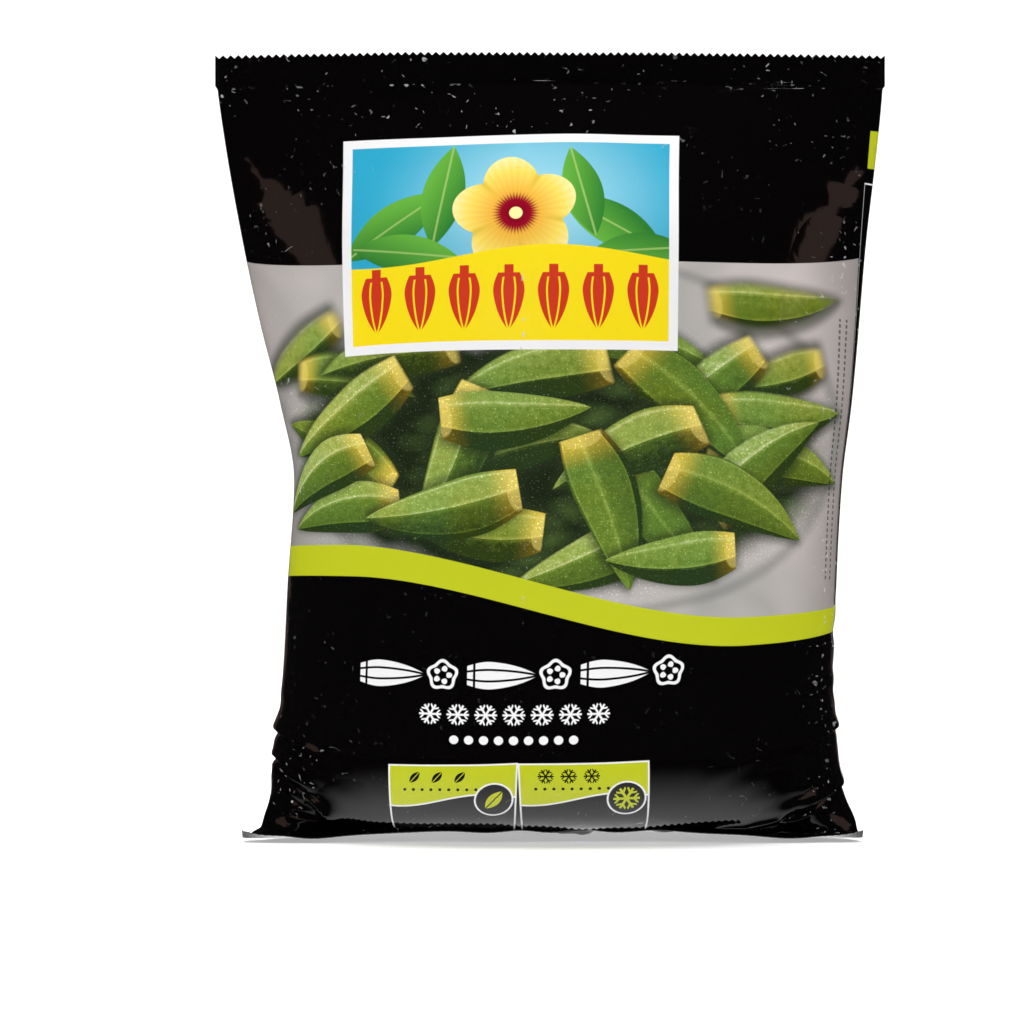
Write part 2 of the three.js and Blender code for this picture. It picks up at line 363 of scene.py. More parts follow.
def grid_faces(rows, columns, wrap=True):
    """Quads between neighbouring rows of points numbered row by row, closed round the columns if wrap."""
    index = np.arange(rows * columns).reshape(rows, columns)
    right = np.roll(index, -1, axis=1)
    if not wrap:
        index, right = index[:, :-1], right[:, :-1]
    return np.stack([index[:-1], right[:-1], right[1:], index[1:]], axis=-1).reshape(-1, 4)


def corner_uvs(left, right, low, high):
    """Corner UVs of quads row by row, from the places of their sides across and of their ends up."""
    left, right, low, high = np.broadcast_arrays(left, right, low, high)
    corners = [np.stack(pair, axis=-1) for pair in ((left, low), (right, low), (right, high), (left, high))]
    return np.stack(corners, axis=2).reshape(-1, 2)


# ---- Bag sections ----

# Height over the standing height, half-width to the left and to the right over half the flat width, depth
# over the belly depth, and fullness of the ends: the solid bag's own sections.
SECTIONS = np.array([
    [0.0, 0.85, 0.9, 0.58, 0.62],
    [0.012, 0.856, 0.915, 0.7, 0.6],
    [0.045, 0.844, 0.89, 0.82, 0.58],
    [0.1, 0.834, 0.866, 0.915, 0.56],
    [0.2, 0.8, 0.85, 0.98, 0.54],
    [0.32, 0.785, 0.858, 1.0, 0.54],
    [0.45, 0.765, 0.875, 0.965, 0.56],
    [0.55, 0.808, 0.905, 0.885, 0.6],
    [0.65, 0.868, 0.927, 0.77, 0.65],
    [0.75, 0.919, 0.947, 0.62, 0.72],
    [0.85, 0.96, 0.973, 0.36, 0.8],
    [0.92, 0.984, 0.99, 0.15, 0.85],
    [0.961, 1.0, 1.0, 0.006, 0.9],
])
FLATNESS = 2.4  # power that squares off a level section


def fair_curve(x, knots, values):
    """Cubic through knots with harmonic-mean slopes, so that it never overshoots a knot."""
    span = np.diff(knots)
    steps = np.diff(values) / span
    slopes = np.concatenate([steps[:1], np.zeros(len(steps) - 1), steps[-1:]])
    same = steps[:-1] * steps[1:] > 0
    total = np.where(same, steps[:-1] + steps[1:], 1.0)
    slopes[1:-1] = np.where(same, 2 * steps[:-1] * steps[1:] / total, 0.0)
    k = np.clip(np.searchsorted(knots, x) - 1, 0, len(span) - 1)
    t = np.clip((x - knots[k]) / span[k], 0.0, 1.0)
    start = (2 * t**3 - 3 * t**2 + 1) * values[k] + (t**3 - 2 * t**2 + t) * span[k] * slopes[k]
    end = (3 * t**2 - 2 * t**3) * values[k + 1] + (t**3 - t**2) * span[k] * slopes[k + 1]
    return start + end


class BagShape:
    """The bag's smooth outer form and its film's flat pattern, in millimetres."""

    def __init__(self, film):
        self.half_width = film.flat_width / MM / 2
        self.height = film.standing_height / MM
        self.depth = film.belly_depth / MM
        self.seal = film.seal_height / MM
        self.seal_line = self.height - self.seal
        heights = np.linspace(self.seal_line, 0.0, 400)
        belly = self.point(np.zeros(400), heights, -1.0)
        side = self.point(np.full(400, -1.0), heights, 0.0)
        self.heights = heights
        self.down_front = self._path(belly)
        self.down_side = self._path(side)
        self.base_reach = -belly[-1, 1]
        self.film_length = self.down_front[-1] + self.base_reach

    @staticmethod
    def _path(points):
        steps = np.linalg.norm(np.diff(points, axis=0), axis=1)
        return np.concatenate([[0.0], np.cumsum(steps)])

    def point(self, across, height, side):
        """Level section at a height: across runs from -1 to 1, side is -1 for the front and 1 for the back.
        The depth falls off to the ends as (1 - |across|^flatness)^fullness."""
        share = np.clip(height / self.height, 0.0, SECTIONS[-1, 0])
        sections = (fair_curve(share, SECTIONS[:, 0], SECTIONS[:, k]) for k in range(1, 5))
        left, right, depth, fullness = sections
        x = across * np.where(across < 0, left, right) * self.half_width
        fall = np.clip(1 - np.abs(across) ** FLATNESS, 0.0, 1.0) ** fullness
        return np.stack([x, side * depth * self.depth / 2 * fall, height * np.ones_like(x)], axis=-1)


# ---- Film relaxation ----

# Lengths are in millimetres.
SEAL_TURN = 17.0  # how far in front of the base's centre the bottom seal starts
EAR_REACH = (100.5, 102.0)  # how far the bottom seal's corners reach to the left and to the right
EAR_LENGTH = 9.0  # how much of the film's edge lies along the floor beside each corner
EAR_HEIGHT = 1.5  # how high the film's edge is where that part of it ends
EAR_SLOPE = (3.0, 10.0)  # how much a corner rises towards its cut edge, and over how far
CRUMPLE_PITCH = 27.0  # spacing of the bottom seal's crumples
CRUMPLE_HEIGHT = 0.9
FLOOR_GAP = 0.3  # how low the film may lie
BASE_LIFT = 2.4  # how far the base's middle stands off the floor between the corners, which carry the bag
BASE_LIFT_HALF = 0.62  # share across the bag where that lift has halved
SEAL_DIP = 1.3  # how much lower the top seal's corners are than its middle
SEAL_WAVES = ((1.5, 31.0, 0.6), (0.9, 13.0, 2.0), (0.5, 6.1, 0.0))  # depth, length per radian and shift
LAYER_GAP = 0.05  # from the middle of a seal to either layer
SLACK_KNEE = 110.0  # how far down the film's edge its slack starts to be gathered
ROUGHNESS = 0.55  # how far the film's points are scattered at the start
BASE_HOLD = 9  # how much more strongly than elsewhere the film is held at the bottom seal
BASE_HOLD_REACH = 14.0  # over how far up the film that falls off
CLEARING_STEP = 6  # turns from one clearing off the pods to the next
STEADY_TURNS = 8  # turns at the end that each have one


class FilmGrid:
    """Points of the film in rows from the bottom seal's cut edge to the top seal's, and in columns round the
    tube from its left edge along the front to its right edge and back along the rear."""

    def __init__(self, shape, columns, rows, seal_rows):
        self.shape = shape
        self.columns = columns
        self.rows = rows
        self.seal_rows = seal_rows
        self.around = 4 * shape.half_width / columns
        self.up = shape.film_length / rows

    @property
    def lines(self):
        """Number of rows of points, seals included."""
        return self.rows + 2 * self.seal_rows + 1

    def across(self):
        """Share across the bag of each column, -1 at the left edge and 1 at the right edge."""
        k = np.arange(self.columns)
        front = k <= self.columns // 2
        return np.where(front, -1 + 4 * k / self.columns, 3 - 4 * k / self.columns)

    def sides(self):
        """-1 on the front, 1 on the rear and 0 on the two edges of the tube."""
        k = np.arange(self.columns)
        middle = self.columns // 2
        return np.where((k == 0) | (k == middle), 0.0, np.where(k < middle, -1.0, 1.0))

    def heights_on_film(self):
        """Distance of each row up the film from the bottom seal line."""
        return (np.arange(self.lines) - self.seal_rows) * self.up

    def finer(self):
        """The same film with half the spacing."""
        return FilmGrid(self.shape, 2 * self.columns, 2 * self.rows, 2 * self.seal_rows)

    def open_rows(self):
        """Slice of the rows between the two seal lines."""
        return slice(self.seal_rows + 1, -self.seal_rows - 1)


def top_seal(grid):
    """The top seal stands as a flat band that waves gently to and fro: depth is a sum of three sines of the
    place across, and its cut edge rises a little towards its middle."""
    x = grid.across() * grid.shape.half_width
    wave = sum(depth * np.sin(x / length + shift) for depth, length, shift in SEAL_WAVES)
    wave *= 1 - np.abs(grid.across()) ** 6
    rise = SEAL_DIP * (1 - grid.across() ** 2)
    lines = np.arange(grid.seal_rows + 1)[:, None] * grid.shape.seal / grid.seal_rows
    z = grid.shape.seal_line + lines - SEAL_DIP + rise
    return np.stack(np.broadcast_arrays(x, wave + grid.sides() * LAYER_GAP, z), axis=-1)


def bottom_seal(grid):
    """The bottom seal lies on the floor pointing forward: its width is drawn in to the ears, and what is
    spare stands up in crumples, a raised sine of the place across that dies out at the ears."""
    across = grid.across()
    reach = np.where(across < 0, EAR_REACH[0], EAR_REACH[1])
    phase = 2 * np.pi * across * grid.shape.half_width / CRUMPLE_PITCH
    uneven = 0.7 + 0.3 * np.sin(across * 5.0 + 1.0)
    crumple = CRUMPLE_HEIGHT / 2 * uneven * (1 - np.cos(phase + 0.9 * np.sin(across * 7.0)))
    ear = np.abs(across) ** 10
    lines = np.arange(grid.seal_rows, -1, -1)[:, None] * grid.shape.seal / grid.seal_rows
    sway = 1.2 * np.sin(across * 9.0)
    y = -SEAL_TURN - lines * (1 - 0.5 * ear) + sway + grid.sides() * LAYER_GAP
    crumple = crumple * (1 - ear) * (0.35 + 0.65 * lines / grid.shape.seal)
    z = FLOOR_GAP + 0.2 + crumple + EAR_SLOPE[0] * ear * lines / EAR_SLOPE[1] + base_lift(across)
    return np.stack(np.broadcast_arrays(across * reach, y, z), axis=-1)


def base_lift(across):
    """The base's lift off the floor at a share across the bag."""
    return BASE_LIFT / (1 + np.abs(across / BASE_LIFT_HALF) ** 10)


def unrelaxed_film(grid):
    """The film wrapped on the bag's smooth form: rows are spaced by the path down the middle of the front,
    and towards the sides, where the path is shorter than the film, they are squeezed below a knee."""
    shape = grid.shape
    down = (shape.film_length - grid.heights_on_film())[:, None]
    down, across, side = np.broadcast_arrays(down, grid.across(), grid.sides())
    under = np.clip((down - shape.down_front[-1]) / shape.base_reach, 0.0, 1.0)
    middle = np.interp(down, shape.down_front, shape.heights)
    knee_height = np.interp(SLACK_KNEE, shape.down_side, shape.heights)
    squeezed_length = shape.film_length - EAR_LENGTH - SLACK_KNEE
    squeezed = knee_height + (EAR_HEIGHT - knee_height) * (down - SLACK_KNEE) / squeezed_length
    squeezed = np.maximum(squeezed, EAR_HEIGHT * (shape.film_length - down) / EAR_LENGTH)
    edge = np.where(down < SLACK_KNEE, np.interp(down, shape.down_side, shape.heights), squeezed)
    weight = np.abs(across) ** 3
    height = np.maximum(middle * (1 - weight) + edge * weight, 0.0)
    points = shape.point(across, height, side)
    points[..., 1] = points[..., 1] * (1 - under) - SEAL_TURN * under
    points[..., 2] += 1.0 + 0.5 * under + base_lift(across) * np.clip(1 - height / 20, 0.0, 1.0)
    ear = np.clip(1 - (shape.film_length - down) / EAR_LENGTH, 0.0, 1.0)
    reach = np.where(across < 0, EAR_REACH[0], EAR_REACH[1])
    points[..., 0] += (across * reach - points[..., 0]) * ear
    points[: grid.seal_rows + 1] = bottom_seal(grid)
    points[-grid.seal_rows - 1:] = top_seal(grid)
    return points


# Height above the floor and depth of each fold that the slack edges start from, left (-1) and right (1).
EDGE_FOLDS = {
    -1: ((98, 2), (76, 2), (57, 2), (39, 2), (22, 2), (7, 9)),
    1: ((98, 2), (72, 2), (48, 2), (25, 2), (7, 8)),
}


def start_folds(points, grid, rng):
    """Dents both edges of the tube where they will fold, and roughens the film so that it can buckle."""
    across = grid.across()[None, :]
    for side, folds in EDGE_FOLDS.items():
        near = np.clip(1 - 3.5 * (1 - across * side), 0.0, 1.0)
        for height, depth in folds:
            dent = depth * np.exp(-((points[..., 2] - height) / 4.0) ** 2)
            points[..., 0] -= side * dent * near
    rough = rng.normal(0.0, ROUGHNESS, points.shape)
    points[grid.open_rows()] += rough[grid.open_rows()]


def edge_batches(grid):
    """Pairs of neighbouring points with their distance on the flat film, in batches that hold no point twice:
    round the tube, up the tube, and along both diagonals."""
    index = np.arange(grid.lines * grid.columns).reshape(grid.lines, grid.columns)
    right = np.roll(index, -1, axis=1)
    slant = math.hypot(grid.around, grid.up)
    batches = []
    for start in (0, 1):
        upper = index[start + 1::2]
        upper_right = right[start + 1::2]
        lower = index[start::2][: len(upper)]
        lower_right = right[start::2][: len(upper)]
        batches.append((index[:, start::2], right[:, start::2], grid.around, 1.0))
        batches.append((lower, upper, grid.up, 1.0))
        batches.append((lower, upper_right, slant, 0.3))
        batches.append((lower_right, upper, slant, 0.3))
    return [(a.ravel(), b.ravel(), rest, give) for a, b, rest, give in batches]


def hold_lengths(flat_points, batches):
    """Moves each pair of points along the line between them towards their distance on the flat film."""
    for first, second, rest, give in batches:
        gap = flat_points[second] - flat_points[first]
        length = np.sqrt(np.einsum("ij,ij->i", gap, gap))[:, None] + 1e-9
        gap *= 0.5 * give * (length - rest) / length
        flat_points[first] += gap
        flat_points[second] -= gap


def second_difference(points):
    """Sum of the second differences round and up the film."""
    change = np.roll(points, 1, axis=1) + np.roll(points, -1, axis=1) - 2 * points
    change[1:-1] += points[2:] + points[:-2] - 2 * points[1:-1]
    return change


def outward(points):
    """Unit normals of the film, from its tangents round and up."""
    around = np.roll(points, -1, axis=1) - np.roll(points, 1, axis=1)
    up = np.gradient(points, axis=0)
    normal = np.cross(around, up)
    return normal / (np.linalg.norm(normal, axis=-1, keepdims=True) + 1e-12)


# Share of a pod's length from its stem end, and the radius there over its greatest: the solid pods' own.
POD_PLACES = np.array([0.0, 0.05, 0.15, 0.42, 0.72, 0.92, 1.0])
POD_SWELL = np.array([0.56, 0.8, 1.0, 0.97, 0.66, 0.27, 0.05])
POD_SKIN_GAP = 0.6  # room between a pod and the film, millimetres
MOST_CLEARED = 2.0  # the most that one clearing moves the film, millimetres


def clear_pods(points, pods):
    """Moves film points that are inside a pod out to its skin, straight away from the pod's bent axis."""
    flat_points = points.reshape(-1, 3)
    for pod in pods:
        stem, tip, bend = pod["stem"], pod["tip"], pod["bend"]
        room = pod["radius"] + np.linalg.norm(bend)
        low = np.minimum(stem, tip) - room
        high = np.maximum(stem, tip) + room
        near = np.flatnonzero(((flat_points > low) & (flat_points < high)).all(axis=1))
        axis = tip - stem
        share = np.clip((flat_points[near] - stem) @ axis / (axis @ axis), 0.0, 1.0)
        away = flat_points[near] - stem - share[:, None] * axis - np.sin(np.pi * share)[:, None] * bend
        distance = np.linalg.norm(away, axis=1) + 1e-9
        lack = np.interp(share, POD_PLACES, POD_SWELL) * pod["radius"] + POD_SKIN_GAP - distance
        flat_points[near] += away * (np.clip(lack, 0.0, MOST_CLEARED) / distance)[:, None]


def bond_seals(points, grid):
    """Front and rear of the film come together in both seals."""
    middle = grid.columns // 2
    for rows in (slice(0, grid.seal_rows + 1), slice(-grid.seal_rows - 1, None)):
        front = points[rows, 1:middle]
        rear = points[rows, :middle:-1]
        shared = (front + rear) / 2
        points[rows, 1:middle] = shared
        points[rows, :middle:-1] = shared


def relax(points, goal, grid, pods, turns, hold, pressure, stiffness):
    """Lets the film settle: it keeps its flat lengths, resists bending, swells a little, is drawn along its
    normal towards the bag's smooth form, and stays off the pods and the floor."""
    batches = edge_batches(grid)
    inner = grid.open_rows()
    flat_points = points.reshape(-1, 3)
    up = np.maximum(grid.heights_on_film(), 0.0)
    grip = hold * (1 + BASE_HOLD * np.exp(-up / BASE_HOLD_REACH))[:, None, None]
    for turn in range(turns):
        hold_lengths(flat_points, batches)
        points -= stiffness * second_difference(second_difference(points))
        normal = outward(points)
        lack = np.einsum("ijk,ijk->ij", goal - points, normal)[..., None]
        points[inner] += ((pressure + grip * lack) * normal)[inner]
        if turn % CLEARING_STEP == 0 or turn > turns - STEADY_TURNS:
            clear_pods(points, pods)
        bond_seals(points, grid)
        points[..., 2] = np.maximum(points[..., 2], FLOOR_GAP)
        points[: grid.seal_rows + 1] = goal[: grid.seal_rows + 1]
        points[-grid.seal_rows - 1:] = goal[-grid.seal_rows - 1:]


def even_out(points, grid):
    """Averages each open point with its neighbours, which takes out ripples that are one step long."""
    even = points
    for axis in (1, 0):
        even = (np.roll(even, 1, axis) + 2 * even + np.roll(even, -1, axis)) / 4
    points[grid.open_rows()] = even[grid.open_rows()]


def split_spacing(points):
    """Points of the grid with half the spacing, the new ones midway between the old."""
    rows, columns, _ = points.shape
    taller = np.empty((2 * rows - 1, columns, 3))
    taller[::2] = points
    taller[1::2] = (points[1:] + points[:-1]) / 2
    wider = np.empty((2 * rows - 1, 2 * columns, 3))
    wider[:, ::2] = taller
    wider[:, 1::2] = (taller + np.roll(taller, -1, axis=1)) / 2
    return wider


# Turns, hold on the smooth form, pressure and bending stiffness, from the coarse film to the fine one.
FILM_PASSES = ((420, 0.08, 0.02, 0.03), (300, 0.06, 0.01, 0.03), (110, 0.04, 0.004, 0.03))
LAST_CLEARINGS = 5  # how often the film is cleared off the pods at the end


def relaxed_film(shape, pods, seed):
    """The film bag's points, relaxed on three grids in turn, each with half the spacing of the one before."""
    rng = np.random.default_rng(seed)
    grid = FilmGrid(shape, columns=88, rows=60, seal_rows=2)
    points = unrelaxed_film(grid)
    start_folds(points, grid, rng)
    passes = FILM_PASSES
    for k, (turns, hold, pressure, stiffness) in enumerate(passes):
        relax(points, unrelaxed_film(grid), grid, pods, turns, hold, pressure, stiffness)
        if k < len(FILM_PASSES) - 1:
            grid = grid.finer()
            points = split_spacing(points)
    even_out(points, grid)
    for _ in range(LAST_CLEARINGS):
        clear_pods(points, pods)
    return points, grid


# ---- Film bag ----


def cut_teeth(points, grid, depth):
    """Every second point of both cut edges steps back towards its seal, which leaves a zigzag."""
    step = depth * grid.seal_rows / grid.shape.seal
    for edge, inner in ((0, 1), (-1, -2)):
        points[edge, 1::2] += step * (points[inner, 1::2] - points[edge, 1::2])


def rim_faces(line, columns):
    """Quads, with a triangle at either end, between front and rear of the row of points that starts at
    line, front first."""
    k = np.arange(1, columns // 2 - 1)
    quads = np.stack([k, columns - k, columns - k - 1, k + 1], axis=-1)
    last = columns // 2
    ends = np.array([[0, columns - 1, 1], [last - 1, last + 1, last]])
    return (quads + line).tolist() + (ends + line).tolist()


def film_uvs(grid, rims):
    """Corner UVs of the film: the whole width and height of the flat film are 0 to 1. The rims take the
    print of the front's cut edge."""
    start = np.arange(grid.columns) / grid.columns + 0.25
    start = np.where(start >= 1.0, start - 1.0, start)
    up = np.arange(grid.lines)[:, None] / (grid.lines - 1)
    body = corner_uvs(start, start + 1.0 / grid.columns, up[:-1], up[1:])
    corners = [
        np.stack([0.25 + mirrored(face, grid.columns) / grid.columns, np.full(len(face), edge)], -1)
        for edge, faces in zip((0.0, 1.0), rims) for face in faces
    ]
    return np.concatenate([body] + corners)


def mirrored(face, columns):
    """Column numbers of a rim face, the rear ones counted as the front ones that they lie behind."""
    k = np.array(face) % columns
    return np.where(k > columns // 2, columns - k, k)


def film_surface(points, grid, film):
    """The bag as one closed skin: the relaxed film, each layer moved out by half its gauge so that the two
    layers of a seal lie side by side, with the teeth cut and the cut edges closed."""
    skin = points + outward(points) * film.gauge / MM / 2
    cut_teeth(skin, grid, film.tooth_depth / MM)
    bottom = [face[::-1] for face in rim_faces(0, grid.columns)]
    top = rim_faces((grid.lines - 1) * grid.columns, grid.columns)
    faces = grid_faces(grid.lines, grid.columns).tolist() + bottom + top
    uvs = film_uvs(grid, (bottom, top))
    return skin.reshape(-1, 3) * MM, faces, uvs


FIN_LIFT = 0.32  # how far the fin's outer side stands off the film at its root and its edge, millimetres
FIN_PUFF = 0.25  # how much farther it stands off halfway across, and how high its edge ripples


def fin_surface(points, grid, film):
    """The fin seam lies folded on the rear and stops a little short of the cut edges: a ring of points across
    the fin, its lower side sunk in the film and its upper side lifted along the film's normal, carried up."""
    middle = 3 * grid.columns // 4
    count = max(2, round(film.fin_width / MM / grid.around))
    across = middle - np.arange(count + 1)
    short = grid.seal_rows // 4
    rows = slice(short, grid.lines - short)
    base = points[rows, across[0]:across[-1] - 1:-1]
    normal = outward(points)[rows, across[0]:across[-1] - 1:-1]
    height = grid.heights_on_film()[rows, None]
    place = np.arange(count + 1) / count
    ripple = FIN_PUFF * place**2 * (np.sin(height / 9.0) + np.sin(height / 5.3 + 1.0))
    in_seal = np.clip(np.minimum(height, grid.shape.film_length - height) / 12.0, 0.0, 1.0)
    lift = FIN_LIFT + FIN_PUFF * np.sin(np.pi * place) * in_seal + np.maximum(ripple, 0.0) * in_seal
    upper = base + normal * lift[..., None]
    lower = base - normal * LAYER_GAP
    ring = np.concatenate([lower, upper[:, ::-1]], axis=1)
    columns = ring.shape[1]
    faces = grid_faces(len(height), columns).tolist()
    last = (len(height) - 1) * columns
    for k in range(count):
        rung = [k, k + 1, columns - k - 2, columns - k - 1]
        faces.append(rung)
        faces.append([corner + last for corner in rung[::-1]])
    return ring.reshape(-1, 3) * MM, faces


def turned_out(points, faces):
    """The faces of a closed form, turned over if they point inwards, which their signed volume tells."""
    volume = 0.0
    for face in faces:
        first = points[face[0]]
        for second, third in zip(face[1:-1], face[2:]):
            volume += first @ np.cross(points[second], points[third])
    return faces if volume > 0 else [face[::-1] for face in faces]


# ---- Pods ----

RIBS = 5
RIB_DEPTH = 0.17  # depth of the hollow between two ribs over the radius
POD_COLUMNS = 40  # points in a ring
# Shares of a pod's length that its rings stand at, close together at the ends. The first closes the cut face.
POD_LINES = np.array([
    0.0, 0.0, 0.004, 0.012, 0.025, 0.045, 0.07, 0.085, 0.1, 0.125, 0.16, 0.21, 0.27, 0.34, 0.42, 0.5, 0.58,
    0.66, 0.73, 0.8, 0.86, 0.91, 0.95, 0.98, 0.994, 1.0,
])
CLOSED_END = 0.02  # radius that a pod's two ends are drawn in to, millimetres
CAP_WAIST = 0.085  # share of a pod's length from its stem end, where its cap was
TIP_START = 0.93  # share where its tip starts to round off
END_RING = 1.5  # how far from a solid pod's end its last ring reaches, millimetres
MIDDLE_RING = (0.36, 0.48)  # shares of its length between which its middle ring lies
LOW_POD = 10.0  # height that a pod's lower end is raised to, millimetres
MOST_RAISED = 5.0  # the most that a pod is raised, millimetres


def solid_pods():
    """Where the solid pods lie, in millimetres. The lowest ones ride up where the film's base stands off the
    floor."""
    found = []
    for name in POD_NODES:
        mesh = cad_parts[name].data
        points = np.empty(len(mesh.vertices) * 3)
        mesh.vertices.foreach_get("co", points)
        pod = measured_pod(np.unique((points.reshape(-1, 3) / MM).round(3), axis=0))
        raised = np.clip(LOW_POD - min(pod["stem"][2], pod["tip"][2]), 0.0, MOST_RAISED)
        pod["stem"][2] += raised
        pod["tip"][2] += raised
        found.append(pod)
    return found


def measured_pod(points):
    """A pod's measures from its own points: the axis is its longest spread, its tip is the end with the
    smaller ring, a rib is where it is widest, and its bend is how far its middle is off the straight line
    between the ends."""
    middle = points.mean(axis=0)
    axis = np.linalg.svd(points - middle, full_matrices=False)[2][0]
    along = (points - middle) @ axis
    ends = [points[np.abs(along - end) < END_RING] for end in (along.min(), along.max())]
    stem, tip = sorted(ends, key=lambda end: -np.ptp(end, axis=0).max())
    stem, tip = stem.mean(axis=0), tip.mean(axis=0)
    line = (points - stem) @ (tip - stem) / ((tip - stem) @ (tip - stem))
    away = points - stem - line[:, None] * (tip - stem)
    bend = away[(line > MIDDLE_RING[0]) & (line < MIDDLE_RING[1])].mean(axis=0)
    away -= bend * np.sin(np.pi * line)[:, None]
    widest = away[np.linalg.norm(away, axis=1).argmax()]
    return {"stem": stem, "tip": tip, "radius": np.linalg.norm(widest), "rib": widest, "bend": bend}


def pod_uvs(count):
    """Corner UVs of every pod: once round is 0 to 1 across, and stem to tip is 0 to 1 up."""
    left = np.arange(POD_COLUMNS) / POD_COLUMNS
    one = corner_uvs(left, left + 1 / POD_COLUMNS, POD_LINES[:-1, None], POD_LINES[1:, None])
    return np.tile(one, (count, 1))


def pod_radius(line):
    """Radius over the pod's greatest: blunt at the cut stem end, fullest near it, with a shallow waist where
    the cap was, and a long taper to the tip."""
    swell = fair_curve(line, POD_PLACES, POD_SWELL)
    waist = 1 - 0.06 * np.exp(-((line - CAP_WAIST) / 0.012) ** 2)
    past = np.clip((line - TIP_START) / (1 - TIP_START), 0.0, 1.0)
    return swell * waist * np.sqrt(1 - past**2)


def pod_surface(pod):
    """Rings about an axis that bends as a half sine: the radius follows pod_radius, lowered between the five
    ribs by the cosine of two and a half times the angle, and the stem's cut face is flat."""
    axis = pod["tip"] - pod["stem"]
    along = axis / np.linalg.norm(axis)
    first = pod["rib"] - (pod["rib"] @ along) * along
    first /= np.linalg.norm(first)
    second = np.cross(along, first)
    angle = 2 * np.pi * np.arange(POD_COLUMNS) / POD_COLUMNS
    line = POD_LINES[:, None]
    radius = pod["radius"] * pod_radius(POD_LINES)
    radius[[0, -1]] = CLOSED_END
    groove = 1 - np.abs(np.cos(RIBS / 2 * angle)) ** 1.3
    depth = RIB_DEPTH * np.interp(POD_LINES, [0.0, 0.1, 0.85, 1.0], [0.5, 1.0, 1.0, 0.2])
    reach = radius[:, None] * (1 - depth[:, None] * groove)
    centre = pod["stem"] + line * axis + pod["bend"] * np.sin(np.pi * line)
    ring = np.cos(angle)[:, None] * first + np.sin(angle)[:, None] * second
    return centre[:, None, :] + reach[..., None] * ring[None]


# ---- Film print ----

# The print, in millimetres on the flat film: across from the middle of the front, up from the bottom seal.
# A printed shape's place is its middle across and up the film, how far it climbs for each millimetre to the
# right, and how far it leans to the right for each millimetre up. Its half is half its width and height.
LABEL_PLACE = (-15.2, 226.9, 0.0, 0.046)
LABEL_HALF = (55.4, 38.2)
LABEL_BORDER = 3.1
LABEL_POD_PITCH = 14.6
LABEL_POD_FOOT = 12.0  # how far below the label's middle its pods start
LABEL_POD_SIZE = (19.5, 5.4)  # length and half-width
TITLE_PLACE = (-14.3, 80.4, 0.03, 0.0)
TITLE_DROPS = (13.5, 22.3)  # how far below the title's pods its snowflakes and its dots stand
TITLE_AREA = (0.0, -8.5, 57.0, 16.5)  # middle, half-width and half-height of all three rows
BOX_PLACES = ((-35.0, 28.9, 0.085, 0.03), (9.7, 31.1, 0.024, -0.05))
BOX_HALF = (21.4, 19.5)
BOXES_AREA = (-12.6, 30.0, 46.4, 24.0)
BAND_TOP = 219.1
BAND_ARCH = 7.0  # how much higher the picture band's top runs at the sides
BAND_RIGHT = 105.3  # where the band ends on the right
PRINT_WRAP = 114.0  # how far the band and the stripe run round the sides
# Level at the left, fall, where the fall starts and how wide it is, of the stripe's upper and lower edges.
STRIPE_HIGH = (123.3, 24.4, -76.0, 140.0)
STRIPE_LOW = (112.3, 23.2, -70.0, 134.0)
STRIPE_RISE = 4.0  # how much the stripe rises again at the right
EDGE = 0.14  # half the softness of a printed edge

GLOOM = (0.02, 0.03, 0.012)  # the colour of the picture's shadows
SLATE = (0.012, 0.012, 0.012)  # the colour of the boxes' lower part


def turned(x, y, degrees):
    """Places along and across a direction."""
    along, across = math.cos(math.radians(degrees)), math.sin(math.radians(degrees))
    return x * along + y * across, y * along - x * across


def placed(s, t, place):
    """Places across and up a printed shape, from its middle."""
    middle_x, middle_y, climb, lean = place
    x, y = s - middle_x, t - middle_y
    return x - y * lean, y - x * climb


def edge(value):
    """1 where a value is above 0, with a printed edge's softness."""
    return value.fade(-EDGE, EDGE)


def distance(x, y):
    """Distance from 0, 0."""
    return (x * x + y * y).root()


def block(x, y, half_x, half_y):
    """1 inside a rectangle about 0, 0."""
    def draw(_, x, y, half_x, half_y):
        return {"mask": edge(half_x - abs(x)) * edge(half_y - abs(y))}

    return x.bench.stamp(motif("block", ("x", "y", "half x", "half y"), draw), x, y, half_x, half_y)


def outline(x, y, half_x, half_y, width):
    """1 on a rectangle's outline."""
    return block(x, y, half_x, half_y) - block(x, y, half_x - width, half_y - width)


def disc(x, y, radius):
    """1 inside a circle about 0, 0."""
    def draw(_, x, y, radius):
        return {"mask": edge(radius - distance(x, y))}

    return x.bench.stamp(motif("disc", ("x", "y", "radius"), draw), x, y, radius)


def draw_snowflake(bench, x, y, radius, width):
    """Three crossed bars, each with a chevron of shorter bars near both its ends."""
    nearest = None
    for degrees in (0, 60, 120):
        along, across = turned(x, y, degrees)
        chevron = abs(abs(along) - abs(across) * 0.8 - radius * 0.55).most(abs(across) - radius * 0.3)
        bar = abs(across).least(chevron)
        nearest = bar if nearest is None else nearest.least(bar)
    return {"mask": edge(width - nearest) * edge(radius - distance(x, y))}


def snowflake(x, y, radius, width):
    """A six-armed snowflake about 0, 0."""
    shape = motif("snowflake", ("x", "y", "radius", "width"), draw_snowflake)
    return x.bench.stamp(shape, x, y, radius, width)


def lens_leaf(along, across, half, width):
    """1 inside a leaf with pointed ends: its half-width is a parabola of the place along."""
    share = along / half
    return edge(width * (1 - share * share) - abs(across))


def pod_outline(share):
    """Half-width of a printed pod over its greatest, from its stem end at 0 to its tip at 1."""
    return (1.0 - share ** 2.6) ** 0.9 * share.fade(-0.55, 0.36)


POD_INPUTS = (
    "s", "t", "x", "y", "cosine", "sine", "length", "width", "bend", "roll", "light", "blur", "grain", "soft",
    "*canvas",
)


